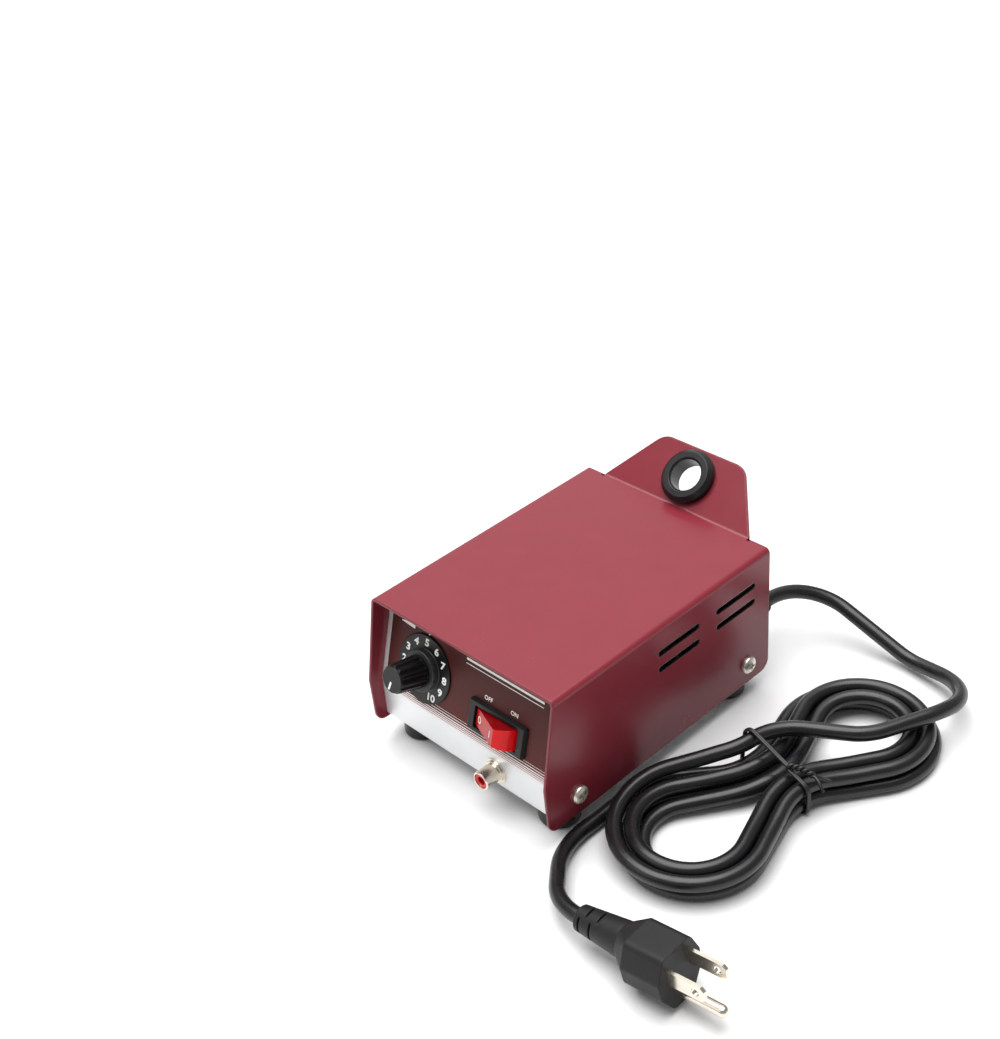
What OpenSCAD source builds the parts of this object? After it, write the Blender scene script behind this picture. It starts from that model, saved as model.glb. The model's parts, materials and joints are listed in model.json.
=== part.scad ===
// Bench wax welder: a sheet metal case with a heat dial, a rocker switch,
// an output socket, a pen holder on a leaning tab and a tied power cord.
// Millimetres, +Z up. The origin is on the floor under the middle of the case.

/* [Cover] */
// Width of the cover over its two sides
cover_w = 105; // [95:0.5:125]
// Length of the cover's flat top, front to back
cover_d = 131; // [122:0.5:150]
// Height of the cover's sides
cover_h = 63; // [60:0.5:75]
// Thickness of the cover's sheet
sheet = 1.2; // [0.8:0.1:1.6]
// Outer radius of the cover's long top bends
bend_r = 2.4; // [1.8:0.1:4]
// How far the side's nose stands in front of the top edge
nose_out = 7.7; // [5:0.1:10]
// Height of the nose above the cover's lower edge
nose_z = 23.3; // [20:0.1:28]
// How far the lower front corner stands in front of the top edge
toe_out = 7.0; // [4:0.1:9]
// Radius of the side's lower corners
corner_r = 5; // [3:0.5:9]

/* [Vents] */
// Start of the first vent behind the top's front edge
vent_start = 59.5; // [50:0.5:64]
// Length of one vent
vent_len = 25.2; // [18:0.2:28]
// Step from the front vents to the rear vents
vent_step = 36.2; // [30:0.2:40]
// Height of the lower row above the cover's lower edge
vent_z = 41.8; // [36:0.2:46]
// Step between the two rows
vent_rise = 8; // [5:0.2:11]
// Width of one vent
vent_w = 2.6; // [1.6:0.1:4]

/* [Rear tab and pen holder] */
// Lean of the tab above the level
tab_lean = 41.1; // [30:0.5:55]
// Length of the tab from its crease
tab_len = 27.8; // [25:0.2:34]
// Width of the tab at its crease
tab_base = 82.6; // [70:0.2:88]
// Width of the tab at its top, before the corners are rounded
tab_top = 45.2; // [40:0.2:60]
// Radius of the tab's two upper corners
tab_corner = 8.5; // [4:0.5:10]
// Inner radius of the bend at the crease
tab_bend = 1.6; // [1:0.1:3]
// Height of the holder up the tab
holder_up = 13.9; // [13:0.1:16]
// Outer radius of the holder's lips
holder_r = 12.5; // [11:0.1:13]
// Radius of the holder's bore
holder_bore = 7.3; // [5:0.1:7.8]
// Radius of the hole in the tab
holder_hole = 9; // [8.6:0.1:10]
// Height of the lip in front of the tab
holder_front = 4.6; // [3:0.1:6]
// Depth of the lip behind the tab
holder_back = 4.2; // [3:0.1:6]

/* [Chassis] */
// Height of the chassis underside above the cover's lower edge
pan_gap = 0.9; // [0.5:0.1:2]
// How far the lower front face stands in front of the top's front edge
panel_out = 1.3; // [0:0.1:3]
// Height of the front panel's bend above the cover's lower edge
panel_bend = 21.8; // [20:0.1:25]
// Lean of the upper front face
panel_lean = 16.13; // [8:0.25:22]
// Gap between the panel's top edge and the cover
panel_head = 0.3; // [0.1:0.1:1]
// How far the rear panel lies inside the cover's rear edge
rear_inset = 2; // [1:0.1:4]
// Height of the side flanges above the chassis underside
flange_h = 17; // [15:0.5:24]

/* [Overlay] */
// Thickness of the printed film
film = 0.25; // [0.15:0.05:0.3]
// Silver strip left at each side of the film
film_side = 2.7; // [1:0.1:5]
// How far the film runs below the bend
film_drop = 3.5; // [1:0.1:5]

/* [Screws and feet] */
// Distance of the front cover screws behind the top's front edge
screw_front = 10.3; // [8:0.1:14]
// Distance of the rear cover screws in front of the cover's rear edge
screw_rear = 14.4; // [12:0.1:18]
// Height of the cover screws above the cover's lower edge
screw_z = 9.9; // [9:0.1:12]
// Radius of a cover screw's head
screw_head_r = 4; // [3.5:0.1:4.5]
// Radius of a cover screw's shank
screw_r = 1.75; // [1.5:0.05:2]
// Radius of a foot
foot_r = 8.8; // [7:0.1:9.5]
// Height of a foot
foot_h = 9.4; // [7:0.1:12]
// Radius of the foot's lower edge
foot_edge = 1.5; // [0.5:0.1:2.5]
// Distance of the feet from the middle plane
foot_x = 41; // [36:0.5:41]
// Distance of the front feet behind the top's front edge
foot_front = 9.9; // [9:0.1:14]
// Distance of the rear feet in front of the cover's rear edge
foot_rear = 15.8; // [14:0.1:20]

/* [Dial] */
// Place of the dial left of the middle plane
dial_x = 25.9; // [24:0.1:30]
// Height of the dial up the upper front face
dial_u = 15.8; // [15.6:0.1:18]
// Radius of the numbered skirt
skirt_r = 15.3; // [13:0.1:15.4]
// Height of the number face off the panel
skirt_z = 1.2; // [1.1:0.05:1.4]
// Radius of the grey collar under the knob
collar_r = 9.1; // [8.9:0.1:9.6]
// Height of the collar's top off the panel
collar_z = 4.5; // [4.4:0.1:5]
// Radius of the knob at its base
knob_r = 7.1; // [6.9:0.1:7.6]
// Radius of the knob at its top
knob_top_r = 6.2; // [6:0.1:6.8]
// Height of the knob's top off the panel
knob_z = 18.4; // [17:0.1:20]
// Number of flutes round the knob
flutes = 12; // [8:1:14]
// Radius of the knob's cap
cap_r = 5.7; // [5.2:0.1:5.8]
// Thickness of the knob's cap
cap_t = 0.6; // [0.5:0.1:1.5]
// Radius of the dial's shaft
shaft_r = 3; // [2.5:0.05:3]
// Running clearance between the shaft and its bushing
shaft_play = 0.05; // [0.02:0.01:0.09]

/* [Switch] */
// Place of the switch right of the middle plane
switch_x = 18.5; // [17.5:0.1:22]
// Height of the switch up the upper front face
switch_u = 9.8; // [9.6:0.1:14]
// Width of the bezel at its base
bezel_w = 32.6; // [32:0.1:34]
// Height of the bezel at its base
bezel_h = 14.6; // [14.4:0.1:16]
// Slope of the bezel's sides
bezel_in = 1.2; // [0.4:0.1:1.3]
// How far the bezel stands off the panel
bezel_z = 2.4; // [1.8:0.1:3]
// Width of the rocker's opening
rocker_w = 24.3; // [23.8:0.1:25]
// Height of the rocker's opening
rocker_h = 10; // [9:0.1:10.4]
// Depth of the rocker's pivot behind the panel
pivot_z = 2.2; // [2:0.1:2.6]
// Distance of the rocker's face from its pivot
rocker_face = 8; // [7.6:0.1:8.4]
// Tilt of the rocker from its middle place
rocker_tilt = 24.4; // [20:0.2:25]
// Depth of the switch body behind the panel
switch_depth = 16; // [15:0.5:20]

/* [Output socket] */
// Place of the socket right of the middle plane
jack_x = 17.3; // [10:0.1:24]
// Height of the socket above the cover's lower edge
jack_z = 9.5; // [9:0.1:12]
// Outer radius of the socket's shell
jack_r = 4.15; // [4.1:0.05:4.5]
// Length of the shell in front of the panel
jack_len = 9; // [8:0.1:11]
// Radius of the washer behind the shell
jack_washer_r = 5.7; // [5.2:0.1:6.5]
// Radius of the centre contact's bore
jack_pin_r = 1.65; // [1.5:0.05:1.75]

/* [Cord and plug] */
// Diameter of the cord
cord_d = 6.5; // [6:0.1:6.6]
// Place of the cord's exit right of the middle plane
exit_x = 35.5; // [30:0.5:37]
// Height of the cord's exit above the cover's lower edge
exit_z = 16; // [14:0.5:20]
// Length of the strain relief behind the rear panel
relief_len = 20; // [20:0.5:24]
// Step between neighbouring turns of the hank
hank_step = 7.1; // [7.05:0.05:7.3]
// Length of the plug's body
plug_len = 46; // [44:0.5:48]
// Spacing of the plug's two flat blades
blade_gap = 12.7; // [12.5:0.1:12.9]

/* [Fits] */
// Clearance of a screw in its hole
screw_play = 0.1; // [0.05:0.01:0.2]
// Gap between faces that move past each other
move_gap = 0.3; // [0.2:0.05:0.4]

/* [Hidden] */
$fn = 64;

// Overlap that makes one cut pass clean through
cut = 1;
// Inner half width of the cover, where the chassis flanges lie against it
pan_half = cover_w / 2 - sheet;
// Inside floor of the chassis
pan_floor = pan_gap + sheet;
// Height of the chassis walls
wall_top = cover_h - sheet - panel_head;
// Outer face of the rear panel
rear_y = cover_d - rear_inset;
// Length of the upper front face
panel_len = (wall_top - panel_bend) / cos(panel_lean);
// Height of the cover's lower edge over the floor
lift = foot_h - pan_gap;
// Place of the flat tab's lower edge along the lean
tab_start = tab_bend * tan(tab_lean / 2);
// Front of the case: lower edge of the knob's cap
front_reach = -panel_out + dial_u * sin(panel_lean)
    - (knob_z + cap_t) * cos(panel_lean) - (cap_r - 0.25) * sin(panel_lean);
// Back of the case: upper edge of the holder's rear lip
rear_reach = cover_d + holder_up * cos(tab_lean) + (sheet + holder_back) * sin(tab_lean)
    + holder_r * cos(tab_lean) - 1.2 * min(sin(tab_lean), cos(tab_lean));
// Place of the cover's top front edge in the part's frame
front_y = -(front_reach + rear_reach) / 2;

function unit(v) = v / norm(v);
function smooth(t) = t <= 0 ? 0 : t >= 1 ? 1 : t * t * (3 - 2 * t);

// Points of a round corner of radius r at b, between the points a and c
function corner(a, b, c, r, n) = let (
    u = unit(a - b), v = unit(c - b), half = acos(u * v) / 2,
    mid = b + unit(u + v) * r / sin(half),
    e0 = b + u * r / tan(half) - mid, e1 = b + v * r / tan(half) - mid,
    turn = 180 - 2 * half)
    [for (i = [0:n]) mid + (sin(turn * (1 - i / n)) * e0 + sin(turn * i / n) * e1) / sin(turn)];

// A closed outline with its corners rounded, each by its own radius
function rounded(p, r, n = 8) = let (m = len(p))
    [for (i = [0:m - 1]) each r[i] > 0
        ? corner(p[(i + m - 1) % m], p[i], p[(i + 1) % m], r[i], n) : [p[i]]];

// An open route with its inner corners rounded, a ring about every 30 degrees
function route(p, r) = [for (i = [0:len(p) - 1]) each i == 0 || i == len(p) - 1 ? [p[i]]
    : let (turn = 180 - acos(unit(p[i - 1] - p[i]) * unit(p[i + 1] - p[i])))
        corner(p[i - 1], p[i], p[i + 1], r[i], max(1, ceil(turn / 30)))];

// Direction of a route at one of its points
function heading(p, i) = i == 0 ? unit(p[1] - p[0])
    : i == len(p) - 1 ? unit(p[i] - p[i - 1])
    : unit(unit(p[i + 1] - p[i]) + unit(p[i] - p[i - 1]));

// A tube of radius r along a route that never stands upright
module tube(p, r, sides, first = undef, last = undef) {
    m = len(p);
    ring = [for (i = [0:m - 1]) let (
        t = i == 0 && first != undef ? first : i == m - 1 && last != undef ? last : heading(p, i),
        s = unit(cross(t, [0, 0, 1])), u = cross(s, t))
        each [for (k = [0:sides - 1]) p[i]
            + r * (cos(360 * (k + 0.5) / sides) * s + sin(360 * (k + 0.5) / sides) * u)]];
    polyhedron(ring, concat(
        [[for (k = [0:sides - 1]) k]],
        [for (i = [0:m - 2], k = [0:sides - 1]) [i * sides + k, (i + 1) * sides + k,
            (i + 1) * sides + (k + 1) % sides, i * sides + (k + 1) % sides]],
        [[for (k = [sides - 1:-1:0]) (m - 1) * sides + k]]), convexity = 6);
}

// The case's frame: the cover's top front edge and lower edge
module case_frame() { translate([0, front_y, lift]) children(); }

// A place on the upper front face: right, up the face, and out of it
module on_panel(x, u) {
    case_frame() translate([0, -panel_out, panel_bend]) rotate([90 - panel_lean, 0, 0])
        translate([x, u, 0]) children();
}

// A place on the lower front face, pointing to the front
module on_band(x, z) {
    case_frame() translate([x, -panel_out, z]) rotate([90, 0, 0]) children();
}

// A place on the tab's front face, pointing out of it
module on_tab(u) {
    case_frame() translate([0, cover_d, cover_h]) rotate([tab_lean, 0, 0])
        translate([0, u, 0]) children();
}

// A place on the rear panel, pointing to the back
module on_rear(x, z) {
    case_frame() translate([x, rear_y, z]) rotate([-90, 0, 0]) children();
}

// Every cover screw's place, pointing out of the side
module cover_screw_places() {
    case_frame() for (s = [-1, 1], y = [screw_front, cover_d - screw_rear])
        translate([s * cover_w / 2, y, screw_z]) rotate([0, s * 90, 0]) children();
}

// Every foot's place, at the floor
module foot_places() {
    translate([0, front_y, 0]) for (s = [-1, 1], y = [foot_front, cover_d - foot_rear])
        translate([s * foot_x, y, 0]) children();
}

// A box about the middle of its base
module block(w, d, h) { translate([-w / 2, -d / 2, 0]) cube([w, d, h]); }

// A six-sided nut with a round hole
module nut(flat, h, r) {
    difference() {
        cylinder(h = h, r = flat / sqrt(3), $fn = 6);
        translate([0, 0, -cut]) cylinder(h = h + 2 * cut, r = r);
    }
}

// A pan head with a cross recess, standing on its seat
module pan_head(r, h) {
    difference() {
        rotate_extrude() polygon(concat([[0, 0], [r, 0], [r, h * 0.35]],
            [for (i = [1:5]) [r * cos(18 * i), h * (0.35 + 0.65 * sin(18 * i))]]));
        for (a = [0, 90]) rotate([0, 0, a])
            translate([-r * 0.5, -r * 0.11, h * 0.45]) cube([r, r * 0.22, h]);
    }
}

// Cover and rear tab

module cover_outline() {
    polygon(concat([[cover_d, cover_h], [0, cover_h]],
        corner([0, cover_h], [-nose_out, nose_z], [-toe_out, 0], 3, 4),
        corner([-nose_out, nose_z], [-toe_out, 0], [cover_d, 0], corner_r, 8),
        corner([0, 0], [cover_d, 0], [cover_d, cover_h], corner_r, 8)));
}

module cover_section() {
    half = cover_w / 2;
    polygon(concat([[-half, 0]],
        corner([-half, 0], [-half, cover_h], [half, cover_h], bend_r, 8),
        corner([-half, cover_h], [half, cover_h], [half, 0], bend_r, 8),
        [[half, 0], [pan_half, 0]],
        corner([pan_half, 0], [pan_half, cover_h - sheet], [-pan_half, cover_h - sheet], bend_r - sheet, 6),
        corner([pan_half, cover_h - sheet], [-pan_half, cover_h - sheet], [-pan_half, 0], bend_r - sheet, 6),
        [[-pan_half, 0]]));
}

module tab_plate() {
    y0 = tab_start - 0.02;
    slope = (tab_base - tab_top) / 2 / tab_len;
    low = tab_base / 2 - slope * y0;
    translate([0, 0, -sheet]) linear_extrude(sheet) polygon(rounded(
        [[low, y0], [tab_top / 2, tab_len], [-tab_top / 2, tab_len], [-low, y0]],
        [0, tab_corner, tab_corner, 0]));
}

module vent(y, z) {
    for (e = [0, 1])
        translate([-cover_w, y + vent_w / 2 + e * (vent_len - vent_w), z])
            rotate([0, 90, 0]) cylinder(h = 2 * cover_w, r = vent_w / 2);
    translate([-cover_w, y + vent_w / 2, z - vent_w / 2])
        cube([2 * cover_w, vent_len - vent_w, vent_w]);
}

module cover() {
    low = tab_base - (tab_base - tab_top) / tab_len * tab_start;
    color("#8a2f3c") difference() {
        union() {
            case_frame() difference() {
                intersection() {
                    translate([0, cover_d, 0]) rotate([90, 0, 0])
                        linear_extrude(cover_d + 2 * nose_out) cover_section();
                    translate([-cover_w, 0, 0]) rotate([90, 0, 90])
                        linear_extrude(2 * cover_w) cover_outline();
                }
                translate([0, cover_d - tab_start, cover_h - sheet - cut])
                    block(low + 2.4, 2 * tab_start, 2 * sheet + cut);
            }
            case_frame() translate([0, cover_d - tab_start, cover_h + tab_bend])
                rotate([0, 90, 0]) rotate_extrude(angle = tab_lean)
                    translate([tab_bend, -low / 2]) square([sheet, low]);
            case_frame() translate([0, cover_d - 3 * tab_start + 0.01, cover_h - sheet])
                block(low, 4 * tab_start + 0.02, sheet);
            on_tab(0) tab_plate();
        }
        case_frame() for (y = [vent_start, vent_start + vent_step], z = [vent_z, vent_z + vent_rise])
            vent(y, z);
        cover_screw_places() translate([0, 0, -2 * sheet])
            cylinder(h = 4 * sheet, r = screw_r + screw_play);
        on_tab(holder_up) translate([0, 0, -2 * sheet]) cylinder(h = 4 * sheet, r = holder_hole);
    }
}

module cover_screws() {
    color("#d8d4c8") cover_screw_places() {
        pan_head(screw_head_r, 2.6);
        translate([0, 0, -6.5]) cylinder(h = 6.5, r = screw_r);
    }
}

module holder_grommet() {
    groove = holder_hole - 0.05;
    color("#161616") on_tab(holder_up) rotate_extrude() polygon([
        [holder_bore + 0.8, holder_front], [holder_r - 1.8, holder_front],
        [holder_r, holder_front - 1.8], [holder_r, 0.4], [holder_r - 0.4, 0], [groove, 0],
        [groove, -sheet], [holder_r - 0.4, -sheet], [holder_r, -sheet - 0.4],
        [holder_r, 1.2 - sheet - holder_back], [holder_r - 1.2, -sheet - holder_back],
        [holder_bore + 0.8, -sheet - holder_back], [holder_bore, 0.8 - sheet - holder_back],
        [holder_bore, holder_front - 0.8]]);
}

// Chassis, overlay and feet

// Sizes of the switch that the panel's opening follows
lip_z = 0.2;
rocker_r = sqrt(pow(rocker_w / 2 - move_gap, 2) + pow(pivot_z - lip_z, 2));
cavity_w = 2 * (rocker_r + move_gap);
switch_w = cavity_w + 2.2;
switch_h = rocker_h + 2;
// Radius of the dial's bushing and of the socket's thread
bush_r = shaft_r + 0.55;
thread_r = jack_r - 0.15;
relief_r = cord_d / 2 + 3.5;

module chassis_section() {
    t = tan(panel_lean);
    fold = sheet * tan(panel_lean / 2);
    front = -panel_out;
    inner = front + sheet;
    polygon(rounded([
        [front + (wall_top - panel_bend) * t, wall_top], [front, panel_bend], [front, pan_gap],
        [rear_y, pan_gap], [rear_y, wall_top], [rear_y - sheet, wall_top],
        [rear_y - sheet, pan_floor], [inner, pan_floor], [inner, panel_bend - fold],
        [inner + (wall_top - panel_bend + fold) * t, wall_top]],
        [0, 0, sheet + 0.8, sheet + 0.8, 0, 0, 0.8, 0.8, 0, 0]));
}

module chassis() {
    color("#c9cccc") difference() {
        union() {
            case_frame() translate([-pan_half, 0, 0]) rotate([90, 0, 90])
                linear_extrude(2 * pan_half) chassis_section();
            case_frame() for (s = [-1, 1])
                translate([s * (pan_half - sheet / 2), rear_y / 2, pan_gap + sheet / 2])
                    block(sheet, rear_y - 10, flange_h - sheet / 2);
        }
        cover_screw_places() translate([0, 0, -4 * sheet])
            cylinder(h = 4 * sheet, r = screw_r + screw_play / 2);
        foot_places() cylinder(h = foot_h + 3 * sheet, r = 1.6);
        on_panel(-dial_x, dial_u) translate([0, 0, -2 * sheet])
            cylinder(h = 4 * sheet, r = bush_r + screw_play);
        on_panel(switch_x, switch_u) translate([0, 0, -2 * sheet])
            block(switch_w + 0.4, switch_h + 0.4, 4 * sheet);
        on_band(jack_x, jack_z) translate([0, 0, -2 * sheet])
            cylinder(h = 4 * sheet, r = thread_r + screw_play);
        on_rear(exit_x, exit_z) translate([0, 0, -2 * sheet])
            cylinder(h = 4 * sheet, r = relief_r + screw_play);
        case_frame() for (s = [-1, 1]) translate([iron_x + s * ear_x, iron_y, 0])
            cylinder(h = pan_floor + cut, r = 1.5);
    }
}

module front_overlay() {
    front = -panel_out;
    across = [sin(panel_lean), cos(panel_lean)];
    out = [-cos(panel_lean), sin(panel_lean)];
    top = [front, panel_bend] + across * (panel_len - 0.4);
    color("#50302f") difference() {
        case_frame() translate([film_side - pan_half, 0, 0]) rotate([90, 0, 90])
            linear_extrude(2 * (pan_half - film_side)) polygon([
                [front, panel_bend - film_drop], [front, panel_bend], top, top + out * film,
                [front - film, panel_bend + film * tan(panel_lean / 2)],
                [front - film, panel_bend - film_drop]]);
        on_panel(-dial_x, dial_u) translate([0, 0, -cut])
            cylinder(h = 2 * cut, r = bush_r + screw_play);
        on_panel(switch_x, switch_u) translate([0, 0, -cut])
            block(switch_w + 0.4, switch_h + 0.4, 2 * cut);
    }
}

module feet() {
    color("#1b1b1b") foot_places() rotate_extrude() polygon(concat(
        [[1.75, foot_h], [1.75, foot_h / 2], [3.6, foot_h / 2], [3.6, 0]],
        [for (i = [0:6]) [foot_r - foot_edge + foot_edge * sin(15 * i), foot_edge - foot_edge * cos(15 * i)]],
        [[foot_r - 0.3, foot_h]]));
}

module foot_screws() {
    color("#b9b9b4") foot_places() translate([0, 0, foot_h / 2]) {
        rotate([180, 0, 0]) pan_head(2.9, 2);
        cylinder(h = foot_h / 2 + sheet + 4, r = 1.5);
    }
}

module foot_nuts() {
    color("#b9b9b4") foot_places() translate([0, 0, foot_h + sheet]) nut(5.5, 2.4, 1.55);
}

// Dial and its potentiometer

// Place of the pointer, turned from the top of the dial
pointer_turn = 166;
// Radius of the potentiometer's can, and reach of its terminals below it
can_r = 12;
tag_len = 5;

module dial_skirt() {
    color("#1d1d1f") on_panel(-dial_x, dial_u) rotate_extrude() polygon([
        [6.3, skirt_z - 0.6], [skirt_r, skirt_z - 0.6], [skirt_r, skirt_z - 0.25],
        [skirt_r - 0.25, skirt_z], [collar_r + 0.3, skirt_z], [collar_r, skirt_z + 0.3],
        [collar_r, collar_z - 0.3], [collar_r - 0.3, collar_z], [6.3, collar_z]]);
}

module dial_knob() {
    high = knob_z - collar_z;
    taper = atan((knob_r - knob_top_r) / high);
    color("#18181a") on_panel(-dial_x, dial_u) difference() {
        translate([0, 0, collar_z]) rotate_extrude() polygon([
            [shaft_r + 1.2, 0], [knob_r - 0.3, 0], [knob_r, 0.5], [knob_top_r, high - 0.4],
            [knob_top_r - 0.4, high], [0, high], [0, high - 3], [shaft_r + 1.2, high - 3]]);
        for (k = [0:flutes - 1]) rotate([0, 0, 360 * (k + 0.5) / flutes])
            translate([knob_r + 0.75, 0, collar_z + 1.2]) rotate([0, -taper, 0])
                cylinder(h = high + 2, r = 1.5);
        translate([0, 0, collar_z + 4.5]) rotate([0, -90, 0]) cylinder(h = knob_r + 2, r = 1.55);
    }
}

module knob_cap() {
    color("#3a3a3c") on_panel(-dial_x, dial_u) difference() {
        translate([0, 0, knob_z]) rotate_extrude() polygon([
            [0, 0], [cap_r, 0], [cap_r, cap_t - 0.25], [cap_r - 0.25, cap_t], [0, cap_t]]);
        rotate([0, 0, pointer_turn]) translate([-0.5, 1.2, knob_z + cap_t - 0.3])
            cube([1, cap_r - 1.9, 1]);
    }
}

module dial_pointer() {
    color("#f2f2ee") on_panel(-dial_x, dial_u) rotate([0, 0, pointer_turn])
        translate([-0.5, 1.2, knob_z + cap_t - 0.3]) cube([1, cap_r - 1.9, 0.32]);
}

module knob_insert() {
    color("#b5934a") on_panel(-dial_x, dial_u) difference() {
        translate([0, 0, collar_z]) cylinder(h = knob_z - collar_z - 3, r = shaft_r + 1.18);
        cylinder(h = knob_z, r = shaft_r + 0.02);
        translate([0, 0, collar_z + 4.5]) rotate([0, -90, 0]) cylinder(h = knob_r, r = 1.55);
    }
}

module knob_set_screw() {
    long = knob_r - shaft_r - 0.3;
    color("#4a4a4c") on_panel(-dial_x, dial_u) translate([0, 0, collar_z + 4.5]) rotate([0, -90, 0])
        translate([0, 0, shaft_r - 0.5]) difference() {
            cylinder(h = long, r = 1.5);
            translate([0, 0, long - 1.5]) cylinder(h = 3, r = 0.75, $fn = 6);
        }
}

module pot_shaft() {
    color("#c6c6c2") on_panel(-dial_x, dial_u) difference() {
        union() {
            translate([0, 0, -8]) cylinder(h = 8 + knob_z - 3.6, r = shaft_r);
            translate([0, 0, -8]) cylinder(h = 2, r = can_r - 3);
        }
        translate([-shaft_r - 1, -shaft_r - 1, collar_z + 0.6])
            cube([1.5, 2 * shaft_r + 2, knob_z]);
    }
}

module pot_bushing() {
    color("#cfcbb8") on_panel(-dial_x, dial_u) difference() {
        union() {
            translate([0, 0, -sheet - 1.5]) cylinder(h = sheet + 1.5 + collar_z - 0.4, r = bush_r);
            translate([0, 0, -sheet - 2.5]) cylinder(h = 1, r = 6);
        }
        translate([0, 0, -10]) cylinder(h = 20, r = shaft_r + shaft_play);
    }
}

module pot_nut() {
    color("#c9c5b0") on_panel(-dial_x, dial_u) translate([0, 0, film + 0.5])
        nut(10, 2, bush_r + 0.05);
}

module pot_washer() {
    color("#c2c2bc") on_panel(-dial_x, dial_u) translate([0, 0, film]) difference() {
        cylinder(h = 0.5, r = 6);
        translate([0, 0, -cut]) cylinder(h = 3, r = bush_r + 0.05);
    }
}

module pot_body() {
    color("#7d7f80") on_panel(-dial_x, dial_u) translate([0, 0, -sheet - 10]) difference() {
        cylinder(h = 10, r = can_r);
        translate([0, 0, 1.2]) cylinder(h = 7.3, r = can_r - 1.2);
        translate([0, 0, 5]) cylinder(h = 10, r = bush_r + 0.02);
    }
}

module pot_terminals() {
    color("#cdb98a") on_panel(-dial_x, dial_u) translate([0, 0, -sheet - 8]) difference() {
        for (x = [-5, 0, 5]) translate([x - 1, -can_r - tag_len, 0]) cube([2, can_r, 0.6]);
        translate([0, 0, -cut]) cylinder(h = 4, r = can_r);
    }
}

// Rocker switch

module bezel_block() {
    intersection() {
        translate([0, bezel_h / 2, 0]) rotate([90, 0, 0]) linear_extrude(bezel_h) polygon([
            [-bezel_w / 2, film], [bezel_w / 2, film], [bezel_w / 2 - bezel_in, bezel_z],
            [bezel_in - bezel_w / 2, bezel_z]]);
        translate([-bezel_w / 2, 0, 0]) rotate([90, 0, 90]) linear_extrude(bezel_w) polygon([
            [-bezel_h / 2, film], [bezel_h / 2, film], [bezel_h / 2 - bezel_in * 0.7, bezel_z],
            [bezel_in * 0.7 - bezel_h / 2, bezel_z]]);
        linear_extrude(bezel_z) polygon(rounded([[-bezel_w, -bezel_h] / 2, [bezel_w, -bezel_h] / 2,
            [bezel_w, bezel_h] / 2, [-bezel_w, bezel_h] / 2], [2, 2, 2, 2]));
    }
}

module switch_housing() {
    color("#222224") on_panel(switch_x, switch_u) difference() {
        union() {
            bezel_block();
            translate([0, 0, -switch_depth]) block(switch_w, switch_h, switch_depth + film + 0.1);
        }
        translate([0, 0, -lip_z - cut]) block(rocker_w, rocker_h, bezel_z + 3 * cut);
        translate([0, 0, 2 - switch_depth]) block(cavity_w, rocker_h, switch_depth - 2 - lip_z);
        translate([0, switch_h, -pivot_z]) rotate([90, 0, 0]) cylinder(h = 2 * switch_h, r = 1.3);
    }
}

module switch_rocker() {
    deep = rocker_h - 2 * move_gap;
    draft = 0.9;
    reach = 20;
    color("#c8141c") on_panel(switch_x, switch_u) translate([0, 0, -pivot_z])
        rotate([90, -rocker_tilt, 0]) {
            translate([0, 0, -deep / 2]) intersection() {
                cylinder(h = deep, r = rocker_r);
                linear_extrude(deep) polygon([[-4, -5], [4, -5], [reach, -6.8], [reach, rocker_face],
                    [-reach, rocker_face], [-reach, -6.8]]);
                translate([-reach, 0, 0]) rotate([90, 0, 90]) linear_extrude(2 * reach) polygon([
                    [-reach, 0], [3, 0], [rocker_face + 1, draft], [rocker_face + 1, deep - draft],
                    [3, deep], [-reach, deep]]);
            }
            translate([0, 0, -switch_h / 2 + 0.2]) cylinder(h = switch_h - 0.4, r = 1.25);
        }
}

module switch_terminals() {
    color("#cdb98a") on_panel(switch_x, switch_u) for (x = [-9, 0, 9])
        translate([x, 0, -switch_depth - 8]) block(4.75, 0.8, 8);
}

// Output socket

contact_r = jack_pin_r + 0.4;

module jack_shell() {
    color("#d9d5c6") on_band(jack_x, jack_z) rotate_extrude() polygon([
        [jack_r - 0.75, jack_len], [jack_r - 0.3, jack_len], [jack_r, jack_len - 0.3],
        [jack_r, 1.8], [jack_r + 0.75, 1.8], [jack_r + 0.75, 0.8], [thread_r, 0.8],
        [thread_r, -8], [thread_r - 1.1, -8], [thread_r - 1.1, 2.5], [jack_r - 0.75, 2.5]]);
}

module jack_washer() {
    color("#cfcabb") on_band(jack_x, jack_z) difference() {
        cylinder(h = 0.8, r = jack_washer_r);
        translate([0, 0, -cut]) cylinder(h = 3, r = thread_r + 0.05);
    }
}

module jack_insulator() {
    color("#b3151b") on_band(jack_x, jack_z) rotate_extrude() polygon([
        [contact_r, -9], [thread_r - 1.12, -9], [thread_r - 1.12, 2.5], [jack_r - 0.77, 2.5],
        [jack_r - 0.77, jack_len - 0.5], [jack_pin_r + 0.3, jack_len - 0.5],
        [jack_pin_r + 0.3, jack_len - 2.4], [contact_r, jack_len - 2.4]]);
}

module jack_contact() {
    color("#c9a94f") on_band(jack_x, jack_z) rotate_extrude() polygon([
        [0, -11], [contact_r - 0.02, -11], [contact_r - 0.02, jack_len - 2.4],
        [jack_pin_r, jack_len - 2.4], [jack_pin_r, -1], [0, -1]]);
}

module jack_nut() {
    color("#cfcabb") on_band(jack_x, jack_z) translate([0, 0, -sheet - 3.1])
        nut(11, 2.5, thread_r + 0.05);
}

module jack_lug() {
    color("#cdb98a") on_band(jack_x, jack_z) translate([0, 0, -sheet - 0.6]) difference() {
        union() {
            cylinder(h = 0.6, r = 5.6);
            translate([-11, -1.5, 0]) cube([11, 3, 0.6]);
        }
        translate([0, 0, -cut]) cylinder(h = 3, r = thread_r + 0.05);
    }
}

// Transformer and circuit board

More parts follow.
